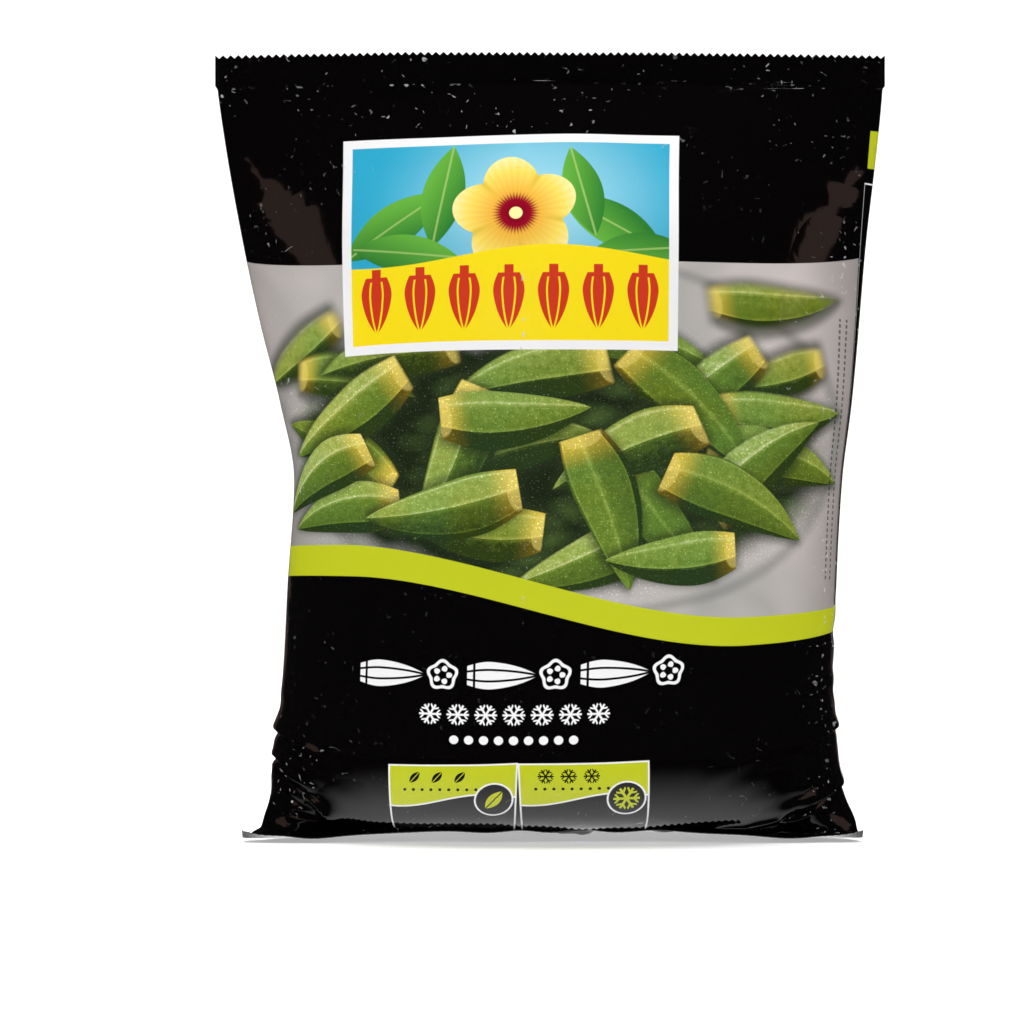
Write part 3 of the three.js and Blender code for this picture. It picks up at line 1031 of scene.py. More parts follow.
def draw_pod(bench, s, t, x, y, cosine, sine, length, width, bend, roll, light, blur, grain, soft, canvas):
    """One pod laid on the picture: a soft shadow, then ribs lit from one side, with a pale stem end."""
    colours = settings("okra_bag_print")
    right, up = s - x, t - y
    along = right * cosine + up * sine
    held = (along / length).share()
    off = up * cosine - right * sine - held * (1 - held) * (4 * bend)
    half = pod_outline(held) * width
    inside = ((half - abs(off)) / blur).fade(0.0, 1.5) * (along / blur).fade(-1.0, 1.0)
    shadow = (half + 3.4 - abs(off + 0.8)).fade(0.0, 5.0) * along.fade(-4.0, 1.5)
    shadow = shadow * (length + 3 - along).fade(0.0, 5.0)
    turn = (off / (half + 0.01)).arcsine() + roll
    flank = turn.repeat(1.0)
    facing = (turn - roll) - flank * 0.7
    rib = (abs(flank) - 0.34).fade(0.0, 0.14)
    tone = (facing.sin() * light + facing.cos() * 0.62 + grain * 0.6 + rib * 0.16 - 0.44).share()
    green = bench.ramp(tone, [
        (0.0, colours.pod_shade), (0.5, colours.pod_green),
        (0.8, (0.26, 0.38, 0.08)), (1.0, (0.5, 0.6, 0.28)),
    ])
    ripe = bench.ramp(tone, [(0.0, (0.03, 0.045, 0.004)), (0.5, (0.16, 0.2, 0.012)), (1.0, (0.52, 0.5, 0.1))])
    green = bench.mix((soft * 4.0 - 1.6).share() * 0.7, green, ripe)
    pale = bench.ramp(tone, [(0.0, (0.13, 0.095, 0.01)), (0.55, colours.pod_cut), (1.0, (0.8, 0.69, 0.2))])
    skin = bench.mix((held + grain * 0.12).fade(0.27, 0.07), green, pale)
    face = (width * 0.58 - distance(along * 1.8 - 0.9, off)).fade(-0.6, 0.6)
    skin = bench.mix(face * 0.4, skin, (0.8, 0.66, 0.18))
    canvas = bench.mix(shadow * 0.72, canvas, GLOOM)
    return {"colour": bench.mix(inside, canvas, skin)}


# Stem end, direction of the tip in degrees, length, half-width, bend, roll and softness of each printed pod,
# from back to front.
PRINTED_PODS = (
    (-74.0, 201.0, 204.0, 44.0, 9.4, 3.0, 0.4, 2.8),
    (50.0, 206.0, 6.0, 48.0, 10.2, -3.0, 1.0, 2.8),
    (90.0, 188.0, 196.0, 40.0, 9.4, 2.0, 0.3, 2.2),
    (-92.0, 184.0, -14.0, 46.0, 9.8, 2.5, 1.7, 1.8),
    (-34.0, 190.0, 188.0, 50.0, 10.2, -2.0, 1.4, 1.4),
    (4.0, 193.0, -12.0, 50.0, 10.4, 2.5, 2.2, 1.4),
    (66.0, 190.0, 214.0, 50.0, 10.4, 2.0, 0.9, 1.2),
    (50.0, 168.0, 4.0, 50.0, 10.2, -2.5, 0.8, 0.9),
    (-58.0, 142.0, 150.0, 52.0, 10.6, -3.0, 2.4, 0.8),
    (-52.0, 182.0, 208.0, 56.0, 10.8, 3.0, 2.0, 0.7),
    (16.0, 184.0, 192.0, 54.0, 11.0, -2.5, 0.2, 0.7),
    (-36.0, 150.0, 12.0, 50.0, 10.8, 3.0, 0.7, 0.7),
    (48.0, 156.0, -10.0, 54.0, 10.6, 2.0, 1.2, 0.6),
    (32.0, 130.0, 202.0, 52.0, 10.6, 2.5, 1.8, 0.6),
    (22.0, 188.0, -44.0, 58.0, 11.2, 2.5, 1.3, 0.6),
    (50.0, 134.0, 40.0, 52.0, 10.8, 3.0, 1.1, 0.5),
    (-26.0, 176.0, 246.0, 56.0, 11.4, 2.5, 2.6, 0.45),
    (18.0, 152.0, -50.0, 52.0, 10.6, -2.5, 0.4, 0.4),
    (46.0, 164.0, 204.0, 54.0, 11.0, -2.5, 0.5, 0.4),
    (-54.0, 136.0, 188.0, 48.0, 9.8, -3.0, 1.9, 0.3),
    (-66.0, 156.0, 206.0, 48.0, 10.2, -3.0, 1.9, 0.3),
    (-6.0, 128.0, 174.0, 48.0, 10.0, 2.5, 1.3, 0.3),
    (-40.0, 166.0, 4.0, 50.0, 10.8, -2.5, 0.9, 0.3),
    (6.0, 160.0, -72.0, 54.0, 11.6, 2.5, 1.6, 0.3),
    (-14.0, 142.0, 190.0, 54.0, 11.0, 3.0, 0.6, 0.25),
    (34.0, 148.0, -24.0, 54.0, 11.2, 2.5, 2.3, 0.25),
    (58.0, 122.0, 184.0, 44.0, 9.6, 2.0, 0.2, 0.25),
)


def draw_picture(bench, s, t, soft, grain, frost):
    """The picture band: frosted okra pods heaped on a pale ground that darkens to the sides, with a plate's
    rim, and two columns of small marks at the right. soft, grain and frost are noises over the film, from
    coarse to fine."""
    greys = (
        (0.2, (0.26, 0.27, 0.25)), (0.4, (0.4, 0.39, 0.37)),
        (0.6, (0.56, 0.52, 0.5)), (0.8, (0.66, 0.6, 0.58)),
    )
    canvas = bench.ramp((soft + s * 0.001).share(), greys)
    canvas = bench.mix(abs(s + 4.0).fade(74.0, 112.0) * 0.55, canvas, (0.16, 0.14, 0.13))
    rim = abs(distance((s - 4.0) / 101.0, (t - 160.0) / 62.0) - 1.0 + soft * 0.1)
    canvas = bench.mix((0.05 - rim).fade(0.0, 0.05) * 0.45, canvas, (0.16, 0.17, 0.16))
    heap = 1.0 - distance((s + 4.0) / 104.0, (t - 152.0) / 50.0) + soft * 0.5 - 0.3
    deeper = bench.cells(bench.scaled(bench.together(s, t), (0.05, 0.11, 0.0)))
    depth = (1.0 - deeper * 1.5 + grain * 0.5 - 0.3).share()
    shade = bench.mix(depth, (0.012, 0.02, 0.008), (0.07, 0.12, 0.03))
    canvas = bench.mix(heap.fade(0.0, 0.2), canvas, shade)
    pod = motif("printed pod", POD_INPUTS, draw_pod)
    for x, y, degrees, length, width, bend, roll, blur in PRINTED_PODS:
        cosine, sine = math.cos(math.radians(degrees)), math.sin(math.radians(degrees))
        light = 0.62 * cosine + 0.45 * sine
        shape = (x, y, cosine, sine, length, width, bend, roll, light, blur)
        canvas = bench.stamp(pod, s, t, *shape, grain, soft, canvas)
    heaped = heap.fade(-0.15, 0.15)
    canvas = bench.brighter(canvas, frost.fade(0.58, 0.7) * heaped * 1.1 + 1.0)
    canvas = bench.mix(frost.fade(0.64, 0.72) * heaped * 0.15, canvas, (0.7, 0.76, 0.66))
    columns = edge(0.45 - abs(abs(s - 99.0) - 1.6)) * edge(0.62 - abs(t.repeat(2.1)))
    small_marks = columns * block(s - 99.0, t - 158.0, 4.0, 46.0)
    return {"colour": bench.mix(small_marks * 0.75, canvas, GLOOM)}


def draw_label_leaf(bench, x, y, half, width, canvas):
    """One leaf of the label, shaded across and veined down its middle."""
    leaf = lens_leaf(x, y, half, width)
    green = bench.mix((y * 0.07 + x * 0.02 + 0.5).share(), (0.03, 0.2, 0.03), (0.13, 0.42, 0.05))
    green = bench.mix(edge(0.35 - abs(y)) * 0.7, green, (0.36, 0.56, 0.16))
    return {"colour": bench.mix(leaf, canvas, green)}


# Middle, direction in degrees, half-length and half-width of each leaf on the label.
LABEL_LEAVES = (
    (-38.0, 6.0, 35.0, 20.0, 7.5), (-22.0, 16.0, 80.0, 19.0, 7.0), (-34.0, -4.0, -8.0, 18.0, 6.5),
    (34.0, 5.0, 150.0, 20.0, 7.5), (24.0, 17.0, 105.0, 17.0, 6.5), (42.0, -4.0, 185.0, 16.0, 6.0),
)
BLOSSOM = (2.0, 9.0)  # its middle on the label
BLOSSOM_REACH = 21.0


def draw_blossom(bench, x, y, canvas):
    """An okra blossom: five round petals, pale at their edges and crimson in the throat."""
    away = distance(x, y)
    angle = x.heading(y)
    petal = (angle * 2.5 + 0.4).sin()
    share = (away / BLOSSOM_REACH + (angle * 40.0).sin() * 0.03).share()
    petals = bench.ramp(share, [
        (0.0, (0.16, 0.0, 0.01)), (0.26, (0.3, 0.005, 0.02)), (0.36, (0.8, 0.42, 0.05)),
        (0.75, (0.88, 0.68, 0.12)), (1.0, (0.9, 0.8, 0.36)),
    ])
    between = abs(petal).fade(0.32, 0.0) * share.fade(0.3, 0.7)
    petals = bench.mix(between * 0.6, petals, (0.62, 0.42, 0.03))
    canvas = bench.mix(edge(15.5 + abs(petal) * 5.5 - away), canvas, petals)
    return {"colour": bench.mix(edge(2.2 - away), canvas, (0.95, 0.85, 0.35))}


def draw_label(bench, s, t):
    """The label: an okra blossom between leaves on a sky, over a yellow field with a row of red pods."""
    colours = settings("okra_bag_print")
    x, y = placed(s, t, LABEL_PLACE)
    inner = (LABEL_HALF[0] - LABEL_BORDER, LABEL_HALF[1] - LABEL_BORDER)
    glow = distance(x * 0.8 - 6.0, y - 12.0).fade(46.0, 4.0)
    art = bench.mix(glow, (0.03, 0.38, 0.58), (0.3, 0.62, 0.74))
    leaf = motif("label leaf", ("x", "y", "half", "width", "*canvas"), draw_label_leaf)
    for leaf_x, leaf_y, degrees, half, width in LABEL_LEAVES:
        art = bench.stamp(leaf, *turned(x - leaf_x, y - leaf_y, degrees), half, width, art)
    blossom = motif("blossom", ("x", "y", "*canvas"), draw_blossom)
    art = bench.stamp(blossom, x - BLOSSOM[0], y - BLOSSOM[1], art)
    hill = (x * 0.055 + 0.8).sin() * 3.2 - 5.5
    art = bench.mix(edge(hill - y), art, colours.yellow)
    length, half_width = LABEL_POD_SIZE
    pod_x, pod_y = x.repeat(LABEL_POD_PITCH), -LABEL_POD_FOOT - y
    half = pod_outline((pod_y / length).share()) * half_width
    ribs = edge(abs(abs(pod_x) - half * 0.42) - 0.3).most(edge(1.5 - pod_y))
    stem = block(pod_x, pod_y + 1.2, 1.5, 1.6)
    pod = edge(half - abs(pod_x)) * edge(pod_y) * ribs
    art = bench.mix(pod.most(stem) * edge(50.9 - abs(x)), art, colours.red)
    return {"colour": bench.mix(block(x, y, *inner), colours.white, art)}


def stripe_edge(s, line):
    """A level line that falls in one eased step and turns up a little at the right."""
    level, fall, start, width = line
    right = s.most(0.0) / 105.0
    return level - fall * s.fade(start, start + width) + STRIPE_RISE * right ** 4.0


def draw_pictograms(bench, s, t):
    """Three rows of white marks under the stripe: okra pods with slices, snowflakes, and dots."""
    x, y = placed(s, t, TITLE_PLACE)
    cell = x.repeat(37.0)
    half = pod_outline(((cell + 15.5) / 23.0).share()) * 4.9
    pod = edge(half - abs(y)) * block(cell + 4.0, y, 11.5, 6.0)
    pod = pod * edge(abs(abs(y) - half * 0.42) - 0.38) * edge(abs(cell + 13.2) - 0.4)
    right = cell - 13.3
    away = distance(right, y)
    angle = right.heading(y)
    corners = (angle * 5.0).sin() * 0.45
    star = edge(5.0 + corners - away) * edge(away - 3.9 - corners)
    seeds = edge(0.95 - distance(away - 2.3, angle.repeat(2 * math.pi / 5) * away))
    pods = (pod + star + seeds).share() * block(x, y, 55.5, 7.0)
    low, lower = y + TITLE_DROPS[0], y + TITLE_DROPS[1]
    flakes = snowflake(x.repeat(9.2), low, 3.7, 0.34) * block(x, low, 32.2, 4.2)
    dots = disc(x.repeat(4.9), lower, 1.5) * block(x, lower, 22.05, 2.4)
    return {"mask": (pods + flakes + dots).share()}


def info_box(bench, x, y, canvas, icon):
    """A lime box in a white outline, ending below in a wave over slate, with a row of small marks and a round
    badge on its lower edge. icon draws a mark of a size about 0, 0."""
    colours = settings("okra_bag_print")
    wave = (x * 0.11 + 0.4).sin() * 2.3 + 6.2
    whole = block(x, y, *BOX_HALF)
    canvas = bench.mix(whole, canvas, SLATE)
    canvas = bench.mix(whole * edge(y - wave), canvas, colours.lime)
    frame_line = outline(x, y, BOX_HALF[0] + 0.2, BOX_HALF[1] + 0.2, 0.55)
    wave_line = whole * edge(0.3 - abs(y - wave))
    canvas = bench.mix((frame_line + wave_line).share(), canvas, colours.white)
    marks = icon((x + 5.0).repeat(7.6), y - 15.0, 2.7) * block(x + 5.0, y - 15.0, 11.4, 4.0)
    dots = disc((x + 4.0).repeat(3.0), y - 10.4, 0.55) * block(x + 4.0, y - 10.4, 13.5, 1.5)
    canvas = bench.mix((marks + dots).share(), canvas, colours.black)
    right, up = x - 14.0, y - 6.2
    canvas = bench.mix(disc(right, up, 6.6), canvas, colours.white)
    canvas = bench.mix(disc(right, up, 6.0), canvas, SLATE)
    return {"colour": bench.mix(icon(right, up, 4.4), canvas, colours.lime)}


def leaf_icon(x, y, size):
    """A leaf aslant with its midrib left open."""
    along, across = turned(x, y, 50.0)
    return lens_leaf(along, across, size, size * 0.48) * edge(abs(across) - size * 0.05)


def flake_icon(x, y, size):
    """A snowflake."""
    return snowflake(x, y, size, size * 0.1)


# Middle across and up, half-width and half-height of the plain shapes on the rear.
REAR_HEADINGS = ((156.0, 264.8, 49.6, 6.6), (-162.0, 236.0, 42.0, 12.0))
REAR_FRAMES = ((156.0, 170.0, 50.6, 83.0), (-162.0, 176.0, 46.0, 77.0))
REAR_RULES = (156.0, 196.0, 44.0, 50.0)
REAR_RULE_PITCH = 9.0
REAR_UPRIGHT = 168.0  # where an upright rule crosses them
REAR_BLOCK = (131.5, 52.0, 23.5, 22.0)


def at(shape, s, t, area, *rest):
    """A block or an outline over an area, given as its middle and its half sizes."""
    x, y, half_x, half_y = area
    return shape(s - x, t - y, half_x, half_y, *rest)


def draw_rear(bench, s, t):
    """The plain rear: a lime heading over a white frame of rules, and a bare white block, on the side that
    follows the front's right edge, and a frame with a heading on the other. The stripe runs in from the
    front."""
    colours = settings("okra_bag_print")
    rules = edge(0.22 - abs(t.repeat(REAR_RULE_PITCH))).most(edge(0.22 - abs(s - REAR_UPRIGHT)))
    lines = (rules * at(block, s, t, REAR_RULES)).most(at(block, s, t, REAR_BLOCK))
    for area in REAR_FRAMES:
        lines = lines.most(at(outline, s, t, area, 0.5))
    canvas = bench.mix(lines, ground(bench, s, t), colours.white)
    for area in REAR_HEADINGS:
        canvas = bench.mix(at(block, s, t, area), canvas, colours.lime)
    return {"colour": canvas}


def ground(bench, s, t):
    """Black all over, with the lime stripe that falls to the right."""
    colours = settings("okra_bag_print")
    stripe = edge(stripe_edge(s, STRIPE_HIGH) + 0.6 - t) * edge(t - stripe_edge(s, STRIPE_LOW))
    return bench.mix(stripe * edge(PRINT_WRAP - abs(s)), colours.black, colours.lime)


def picture_area(s, t):
    """1 on the picture band, whose top arches up to the sides and whose foot is the stripe."""
    side = (s / 105.0) * (s / 105.0)
    top = side * side * BAND_ARCH + BAND_TOP
    sides = edge(BAND_RIGHT - s) * edge(s + PRINT_WRAP)
    return sides * edge(top - t) * edge(t - stripe_edge(s, STRIPE_HIGH))


def picture(bench, place, s, t):
    """The picture band's colours. place holds s and t as a vector."""
    grains = (
        bench.noise(place, 0.016, 2.0, 0.5, 0.6), bench.noise(place, 0.42, 4.0, 0.7),
        bench.noise(place, 1.5, 2.0, 0.6),
    )
    return bench.stamp(motif("picture", ("s", "t", "soft", "grain", "frost"), draw_picture), s, t, *grains)


def info_boxes(bench, s, t):
    """Two boxes side by side on black."""
    canvas = settings("okra_bag_print").black
    for name, place, icon in zip(("left box", "right box"), BOX_PLACES, (leaf_icon, flake_icon)):
        box = motif(name, ("x", "y", "*canvas"), partial(info_box, icon=icon))
        canvas = bench.stamp(box, *placed(s, t, place), canvas)
    return canvas


def printed_areas(bench, place, s, t):
    """Each printed area's mask and colours, from the bottom layer to the top one."""
    colours = settings("okra_bag_print")
    rear = bench.stamp(motif("rear print", ("s", "t"), draw_rear), s, t)
    marks = bench.stamp(motif("pictograms", ("s", "t"), draw_pictograms), s, t)
    label = bench.stamp(motif("label", ("s", "t"), draw_label), s, t)
    title = placed(s, t, TITLE_PLACE)
    return (
        (edge(abs(s) - BAND_RIGHT - 0.5), rear),
        (at(block, s, t, BOXES_AREA), info_boxes(bench, s, t)),
        (at(block, *title, TITLE_AREA), bench.mix(marks, colours.black, colours.white)),
        (picture_area(s, t), picture(bench, place, s, t)),
        (block(*placed(s, t, LABEL_PLACE), *LABEL_HALF), label),
    )


# ---- Materials ----


# In millimetres on the flat film.
CRIMP_PITCH = 1.3  # spacing of the seals' crimped ridges
# The creases up the front and the sides are not in the film's shape: they are lines of worn ink and painted
# glints in its colour.
MIDDLE_CREASE = -12.0  # where a crease runs up the front
SIDE_CREASE = 98.0  # how far from the middle one runs up on either side


def own_uv(bench):
    """The piece's own UV map."""
    return bench.node("ShaderNodeUVMap", {"uv_map": "film"})


def object_place(bench):
    """Place in the object's own metres."""
    return bench.node("ShaderNodeTexCoord", {}, out="Object")


def film_wear_and_glints(bench, place, s, t, slack, patches, film_length):
    """How far the ink is worn to bare film, together with painted glints, light grey both: broken thin lines
    in slack film, on the creases up the middle and the sides and along the top seal, and short specks."""
    line = abs(bench.noise(place, 0.16, 1.0, 0.5, 0.6) - 0.5).fade(0.022, 0.008)
    wander = bench.noise(place, 0.05, 1.0) * 5.0 - 2.5
    creases = (0.5 - abs(s - MIDDLE_CREASE + wander)).fade(0.0, 0.3)
    creases = creases + (0.6 - abs(abs(s) - SIDE_CREASE + wander)).fade(0.0, 0.3)
    creases = creases + (0.5 - abs(t - film_length + 0.8)).fade(0.0, 0.3)
    grit = bench.noise(place, 0.4, 1.0)
    # Painted glints and worn ink in one mask: the thin lines, the crease lines and the seal's line, broken
    # into patches; the specks below are the same.
    marks = (line * (slack * 0.95 + 0.05) + creases) * patches * grit.fade(0.6, 0.66)
    specks = bench.noise(bench.scaled(place, (1.5, 0.36, 0.0)), 0.9, 1.0).fade(0.785, 0.81)
    return (marks + specks * (slack * 0.6 + 0.1)).share() * 0.7


def film_relief(bench, place, t, slack, film_length):
    """A normal bent by folds and fine crumples, which are strong in slack film, and by the seals' crimps."""
    fold = abs(bench.noise(place, 0.035, 1.0, 0.4, 0.3) - 0.5)
    crumple = abs(bench.noise(place, 0.1, 1.0, 0.5, 0.4) - 0.5)
    height = fold * (slack * 1.4 + 0.12) + crumple * (slack * 0.16 + 0.02)
    sealed = t.fade(-0.5, -1.0) + t.fade(film_length + 0.5, film_length + 1.0)
    crimp = (t * (2 * math.pi / CRIMP_PITCH)).sin() * sealed
    return bench.bump((height + crimp * 0.03).share(), 0.0016, 0.6)


def paint_film(bench, shape):
    """Glossy printed film: the print, worn to bare film and painted with glints on its creases, over folds
    and crumples. Each printed area is a surface of its own, mixed in where its mask is 1."""
    girth, length = 4 * shape.half_width, shape.film_length + 2 * shape.seal
    place = bench.scaled(own_uv(bench), (girth, length, 0.0), (-girth / 2, -shape.seal, 0.0))
    s, t = bench.split(place)
    slack = abs(abs(s) - shape.half_width).fade(48.0, 6.0)
    slack = slack.most(t.fade(46.0, 12.0)).most(t.fade(246.0, 276.0))
    patches = bench.noise(place, 0.035, 1.0).fade(0.46, 0.62)
    wear_and_glints = film_wear_and_glints(bench, place, s, t, slack, patches, shape.film_length)
    normal = film_relief(bench, place, t, slack, shape.film_length)
    roughness = patches * 0.03 + wear_and_glints * 0.4 + 0.06

    # Each ink is mixed to light grey by the wear mask, which is worn ink and painted glints in one; the film
    # is rougher there too.
    def inked(colour):
        return bench.surface(bench.mix(wear_and_glints, colour, (0.55, 0.55, 0.56)), roughness, normal)

    film = inked(ground(bench, s, t))
    for area, colour in printed_areas(bench, place, s, t):
        film = bench.node("ShaderNodeMixShader", {}, area, film, inked(colour))
    return film


def paint_fin(bench):
    """The seam's plain black film, with faint pinched ripples across it."""
    ripples = bench.noise(object_place(bench), 90.0, 3.0, 0.5, 1.0)
    colour = bench.mix(ripples.fade(0.66, 0.72) * 0.3, settings("okra_bag_print").black, (0.2, 0.2, 0.2))
    return bench.surface(colour, ripples * 0.15 + 0.12, bench.bump(ripples, 0.0006, 0.5))


def paint_pods(bench):
    """Okra skin: green with paler ribs and stem end, fine down, and patches of frost."""
    looks = settings("okra_bag_pods")
    round_pod, along = bench.split(own_uv(bench))
    place = object_place(bench)
    mottle = bench.noise(place, 180.0, 3.0)
    rib = abs((round_pod * (RIBS * math.pi)).cos())
    dark = tuple(0.55 * value for value in looks.skin)
    skin = bench.mix((rib * 0.5 + mottle * 0.6).share(), dark, looks.skin)
    skin = bench.mix((along + mottle * 0.08).fade(0.2, 0.06), skin, looks.stem)
    frosted = 0.72 - 0.4 * looks.frost
    frost = bench.noise(place, 420.0, 4.0, 0.65).fade(frosted, frosted + 0.14)
    down = bench.noise(place, 1600.0, 2.0)
    normal = bench.bump(down * 0.5 + frost * 0.5, 0.0004, 0.6)
    return bench.surface(bench.mix(frost * 0.55, skin, (0.78, 0.83, 0.8)), frost * 0.3 + 0.45, normal, 1.45)


def paint_sweep(bench):
    """White paper, a little mottled, with a painted glow round the bag that lightens the bag's shadow on it.
    """
    place = object_place(bench)
    x, y = bench.split(place)
    colour = settings("okra_bag_stage").floor_colour
    paper = bench.mix(bench.noise(place, 300.0, 0.0) * 0.05, colour, tuple(0.9 * value for value in colour))
    # Painted light: the paper glows near the bag, so that the bag's shadow on it is pale.
    near = abs(x).fade(0.17, 0.1) * abs(y + 0.03).fade(0.1, 0.03)
    return bench.glowing(paper, bench.mix(near, (0.0, 0.0, 0.0), colour), PAPER_GLOW)


def paint_near_sheet(bench):
    """The paper's own light under the bag, fading to nothing in front of it and to its sides."""
    x, y = bench.split(object_place(bench))
    reach = y.fade(-0.1, -0.02) ** 2.0 * abs(x).fade(0.13, 0.06)
    glow = bench.mix(reach, (0.0, 0.0, 0.0), settings("okra_bag_stage").floor_colour)
    return bench.glowing((0.0, 0.0, 0.0), glow, SHEET_GLOW)


# ---- Operators ----


class OkraBagAddFilm(Operator):
    """Relax the film over the pods and add the bag and its back seam"""

    bl_idname = "okra_bag.add_film"
    bl_label = "Film Bag"

    def execute(self, context):
        film = settings("okra_bag_film")
        shape = BagShape(film)
        points, grid = relaxed_film(shape, solid_pods(), film.seed)
        skin, faces, uvs = film_surface(points, grid, film)
        film_finish = new_material("printed_film", lambda bench: paint_film(bench, shape))
        bag = add_piece("film_bag_skin", skin, faces, film_finish, uvs)
        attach(bag, BODY)
        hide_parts(FILM_NODE)
        ring, ring_faces = fin_surface(points, grid, film)
        fin_finish = new_material("seam_film", paint_fin)
        fin = add_piece("back_fin_seam", ring, turned_out(ring, ring_faces), fin_finish)
        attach(fin, BODY)
        return {"FINISHED"}


class OkraBagAddPods(Operator):
    """Add the frozen okra pods where the solid pods lie"""

    bl_idname = "okra_bag.add_pods"
    bl_label = "Okra Pods"

    def execute(self, context):
        surfaces = [pod_surface(pod) for pod in solid_pods()]
        if not surfaces:
            raise RuntimeError("the frame holds no pods")
        lines = len(POD_LINES)
        one = grid_faces(lines, POD_COLUMNS)
        each = lines * POD_COLUMNS
        faces = np.concatenate([one + k * each for k in range(len(surfaces))])
        points = np.concatenate([surface.reshape(-1, 3) for surface in surfaces]) * MM
        skin = new_material("frozen_okra_skin", paint_pods)
        pods = add_piece("frozen_okra_pods", points, faces.tolist(), skin, pod_uvs(len(surfaces)))
        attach(pods, BODY)
        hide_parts(*POD_NODES)
        return {"FINISHED"}


class OkraBagAddStage(Operator):
    """Add the paper sweep, the lights and the camera"""

    bl_idname = "okra_bag.add_stage"
    bl_label = "Stage"

    def execute(self, context):
        stage = settings("okra_bag_stage")
        add_sweep()
        add_lights(stage)
        add_camera(stage)
        set_world(context.scene)
        return {"FINISHED"}


# ---- Stage ----

VIEW_MIDDLE = Vector((-0.0125, 0.0, 0.1066))  # the point on the bag's middle plane that the camera looks at
VIEW_WIDTH = 0.337  # width of the view at the bag's middle plane
CAMERA_RISE = 0.6  # camera's elevation in degrees
NEAR_SHEET = np.array([[-0.1, 0.0], [0.11, 0.0]])  # front and rear edge of the sheet under the bag
PAPER_DROP = 0.0006  # how far below that sheet the paper lies
PAPER_GLOW = 0.25  # strength of the light that the paper gives off round the bag
SHEET_GLOW = 1.9
BAG_HEART = (0.0, 0.0, 0.12)
WHITE = (1.0, 1.0, 1.0)
WARM = (1.0, 0.66, 0.56)
# Two soft fills that light the print, dim panels beside, behind and above the bag that show in its gloss, and
# a light on the backdrop. Name, place, what it points at, width and height, the setting that gives its power,
# its share of that, colour, and whether it shows in gloss.
LIGHTS = (
    ("fill_left", (-0.4, -1.4, 0.8), BAG_HEART, (0.8, 0.8), "fill_light", 1.0, WHITE, False),
    ("fill_right", (0.1, -1.45, 0.65), BAG_HEART, (0.8, 0.8), "fill_light", 0.55, WHITE, False),
    ("panel_left", (-1.0, -0.7, 0.66), BAG_HEART, (0.5, 0.5), "side_light", 1.0, WARM, True),
    ("panel_right", (1.05, -0.65, 0.68), BAG_HEART, (0.4, 0.55), "side_light", 1.0, WARM, True),
    ("lamp_high", (0.25, -0.55, 1.25), BAG_HEART, (0.08, 0.08), "side_light", 0.5, WHITE, True),
    ("rim_left", (-0.6, 0.9, 0.3), BAG_HEART, (0.3, 0.8), "side_light", 0.25, WARM, True),
    ("rim_right", (0.6, 0.9, 0.3), BAG_HEART, (0.3, 0.8), "side_light", 0.25, WARM, True),
    ("sweep_light", (0.0, 0.35, 1.6), (0.0, 0.9, 0.0), (1.6, 0.8), "sweep_light", 1.0, WHITE, False),
)


def add_sweep():
    """White paper: a level floor that turns up behind the bag in a quarter circle and runs on as the
    backdrop. A near sheet under the bag shows in the film's gloss; the wide one does not, so that the black
    stays black."""
    front, bend_start, bend_radius, top, half = -1.5, 1.8, 0.25, 2.2, 1.8
    turn = np.linspace(0.0, np.pi / 2, 16)
    profile = np.concatenate([
        [[front, 0.0]],
        np.stack([bend_start + bend_radius * np.sin(turn), bend_radius * (1 - np.cos(turn))], axis=-1),
        [[bend_start + bend_radius, top]],
    ])
    papers = (
        ("sweep", profile, half, PAPER_DROP, new_material("paper_sweep", paint_sweep), False),
        ("near_sheet", NEAR_SHEET, 0.2, 0.0, new_material("paper_glow", paint_near_sheet), True),
    )
    for name, rows, reach, drop, material, near in papers:
        places = np.broadcast_arrays([-reach, reach], rows[:, :1], rows[:, 1:] - drop)
        points = np.stack(places, axis=-1).reshape(-1, 3)
        sheet = add_piece(name, points, grid_faces(len(rows), 2, wrap=False).tolist(), material)
        sheet.visible_glossy = near
        sheet.visible_camera = sheet.visible_diffuse = sheet.visible_shadow = not near


def add_lights(stage):
    """The rectangular lights of the list above."""
    for name, place, aim, size, setting, share, colour, glossy in LIGHTS:
        data = bpy.data.lights.new(name, "AREA")
        data.shape = "RECTANGLE"
        data.size, data.size_y = size
        data.energy = getattr(stage, setting) * share
        data.color = colour
        lamp = bpy.data.objects.new(name, data)
        lamp.location = place
        lamp.rotation_euler = (Vector(aim) - Vector(place)).to_track_quat("-Z", "Y").to_euler()
        lamp.visible_glossy = glossy
        bpy.context.scene.collection.objects.link(lamp)


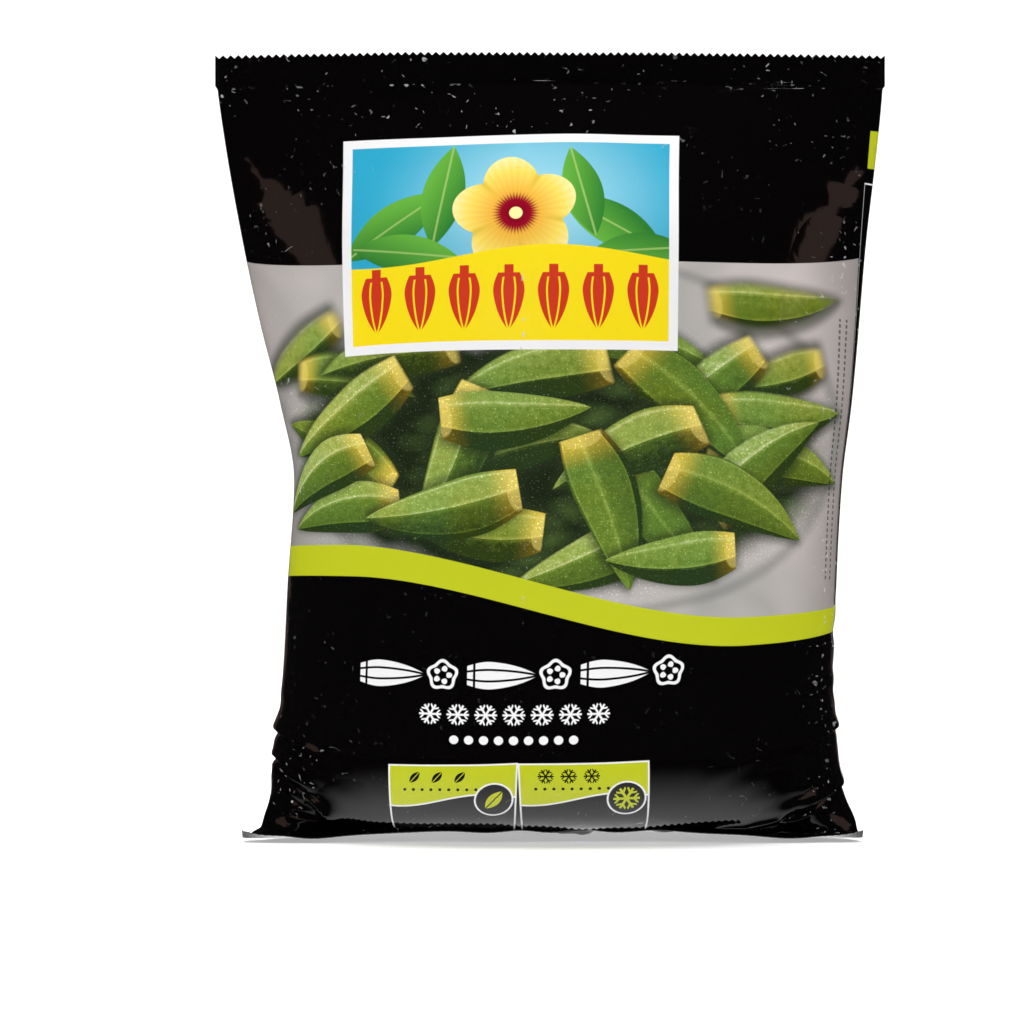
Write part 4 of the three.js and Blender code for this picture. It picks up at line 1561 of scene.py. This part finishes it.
def add_camera(stage):
    """A nearly level long lens in front of the bag, as far away as the view's width asks."""
    data = bpy.data.cameras.new("camera")
    data.sensor_width = 36.0
    data.lens = stage.lens
    data.clip_end = 20.0
    away = VIEW_WIDTH * stage.lens / data.sensor_width
    rise = math.radians(CAMERA_RISE)
    camera = bpy.data.objects.new("camera", data)
    camera.location = VIEW_MIDDLE + away * Vector((0.0, -math.cos(rise), math.sin(rise)))
    camera.rotation_euler = (VIEW_MIDDLE - camera.location).to_track_quat("-Z", "Y").to_euler()
    bpy.context.scene.collection.objects.link(camera)
    bpy.context.scene.camera = camera


def set_world(scene):
    """A nearly dark room, so that nothing but the lights shows in the film."""
    world = bpy.data.worlds.new("room")
    world.use_nodes = True
    background = world.node_tree.nodes["Background"]
    background.inputs["Color"].default_value = (1.0, 1.0, 1.0, 1.0)
    background.inputs["Strength"].default_value = 0.012
    scene.world = world
    scene.view_settings.view_transform = "Standard"


# ---- Panel and registration ----

OPERATORS = (OkraBagAddFilm, OkraBagAddPods, OkraBagAddStage)
GROUPS = {
    "okra_bag_film": OkraBagFilm,
    "okra_bag_print": OkraBagPrint,
    "okra_bag_pods": OkraBagPods,
    "okra_bag_stage": OkraBagStage,
}


class OkraBagPanel(Panel):
    """Lists the settings and the operators"""

    bl_idname = "VIEW3D_PT_okra_bag"
    bl_label = "Okra Bag"
    bl_space_type = "VIEW_3D"
    bl_region_type = "UI"
    bl_category = "Okra Bag"

    def draw(self, context):
        for name, group in GROUPS.items():
            box = self.layout.box()
            for prop in group.__annotations__:
                box.prop(getattr(context.scene, name), prop)
        for operator in OPERATORS:
            self.layout.operator(operator.bl_idname)


def register():
    """Adds the classes to Blender and the settings to its scenes."""
    for entry in (*GROUPS.values(), *OPERATORS, OkraBagPanel):
        bpy.utils.register_class(entry)
    for name, group in GROUPS.items():
        setattr(bpy.types.Scene, name, PointerProperty(type=group))


def unregister():
    """Takes the classes and the settings away again."""
    for name in GROUPS:
        delattr(bpy.types.Scene, name)
    for entry in reversed((*GROUPS.values(), *OPERATORS, OkraBagPanel)):
        bpy.utils.unregister_class(entry)


def main():
    """Builds every piece in order."""
    register()
    bpy.ops.okra_bag.add_stage()
    bpy.ops.okra_bag.add_film()
    bpy.ops.okra_bag.add_pods()


if __name__ == "__main__":
    main()
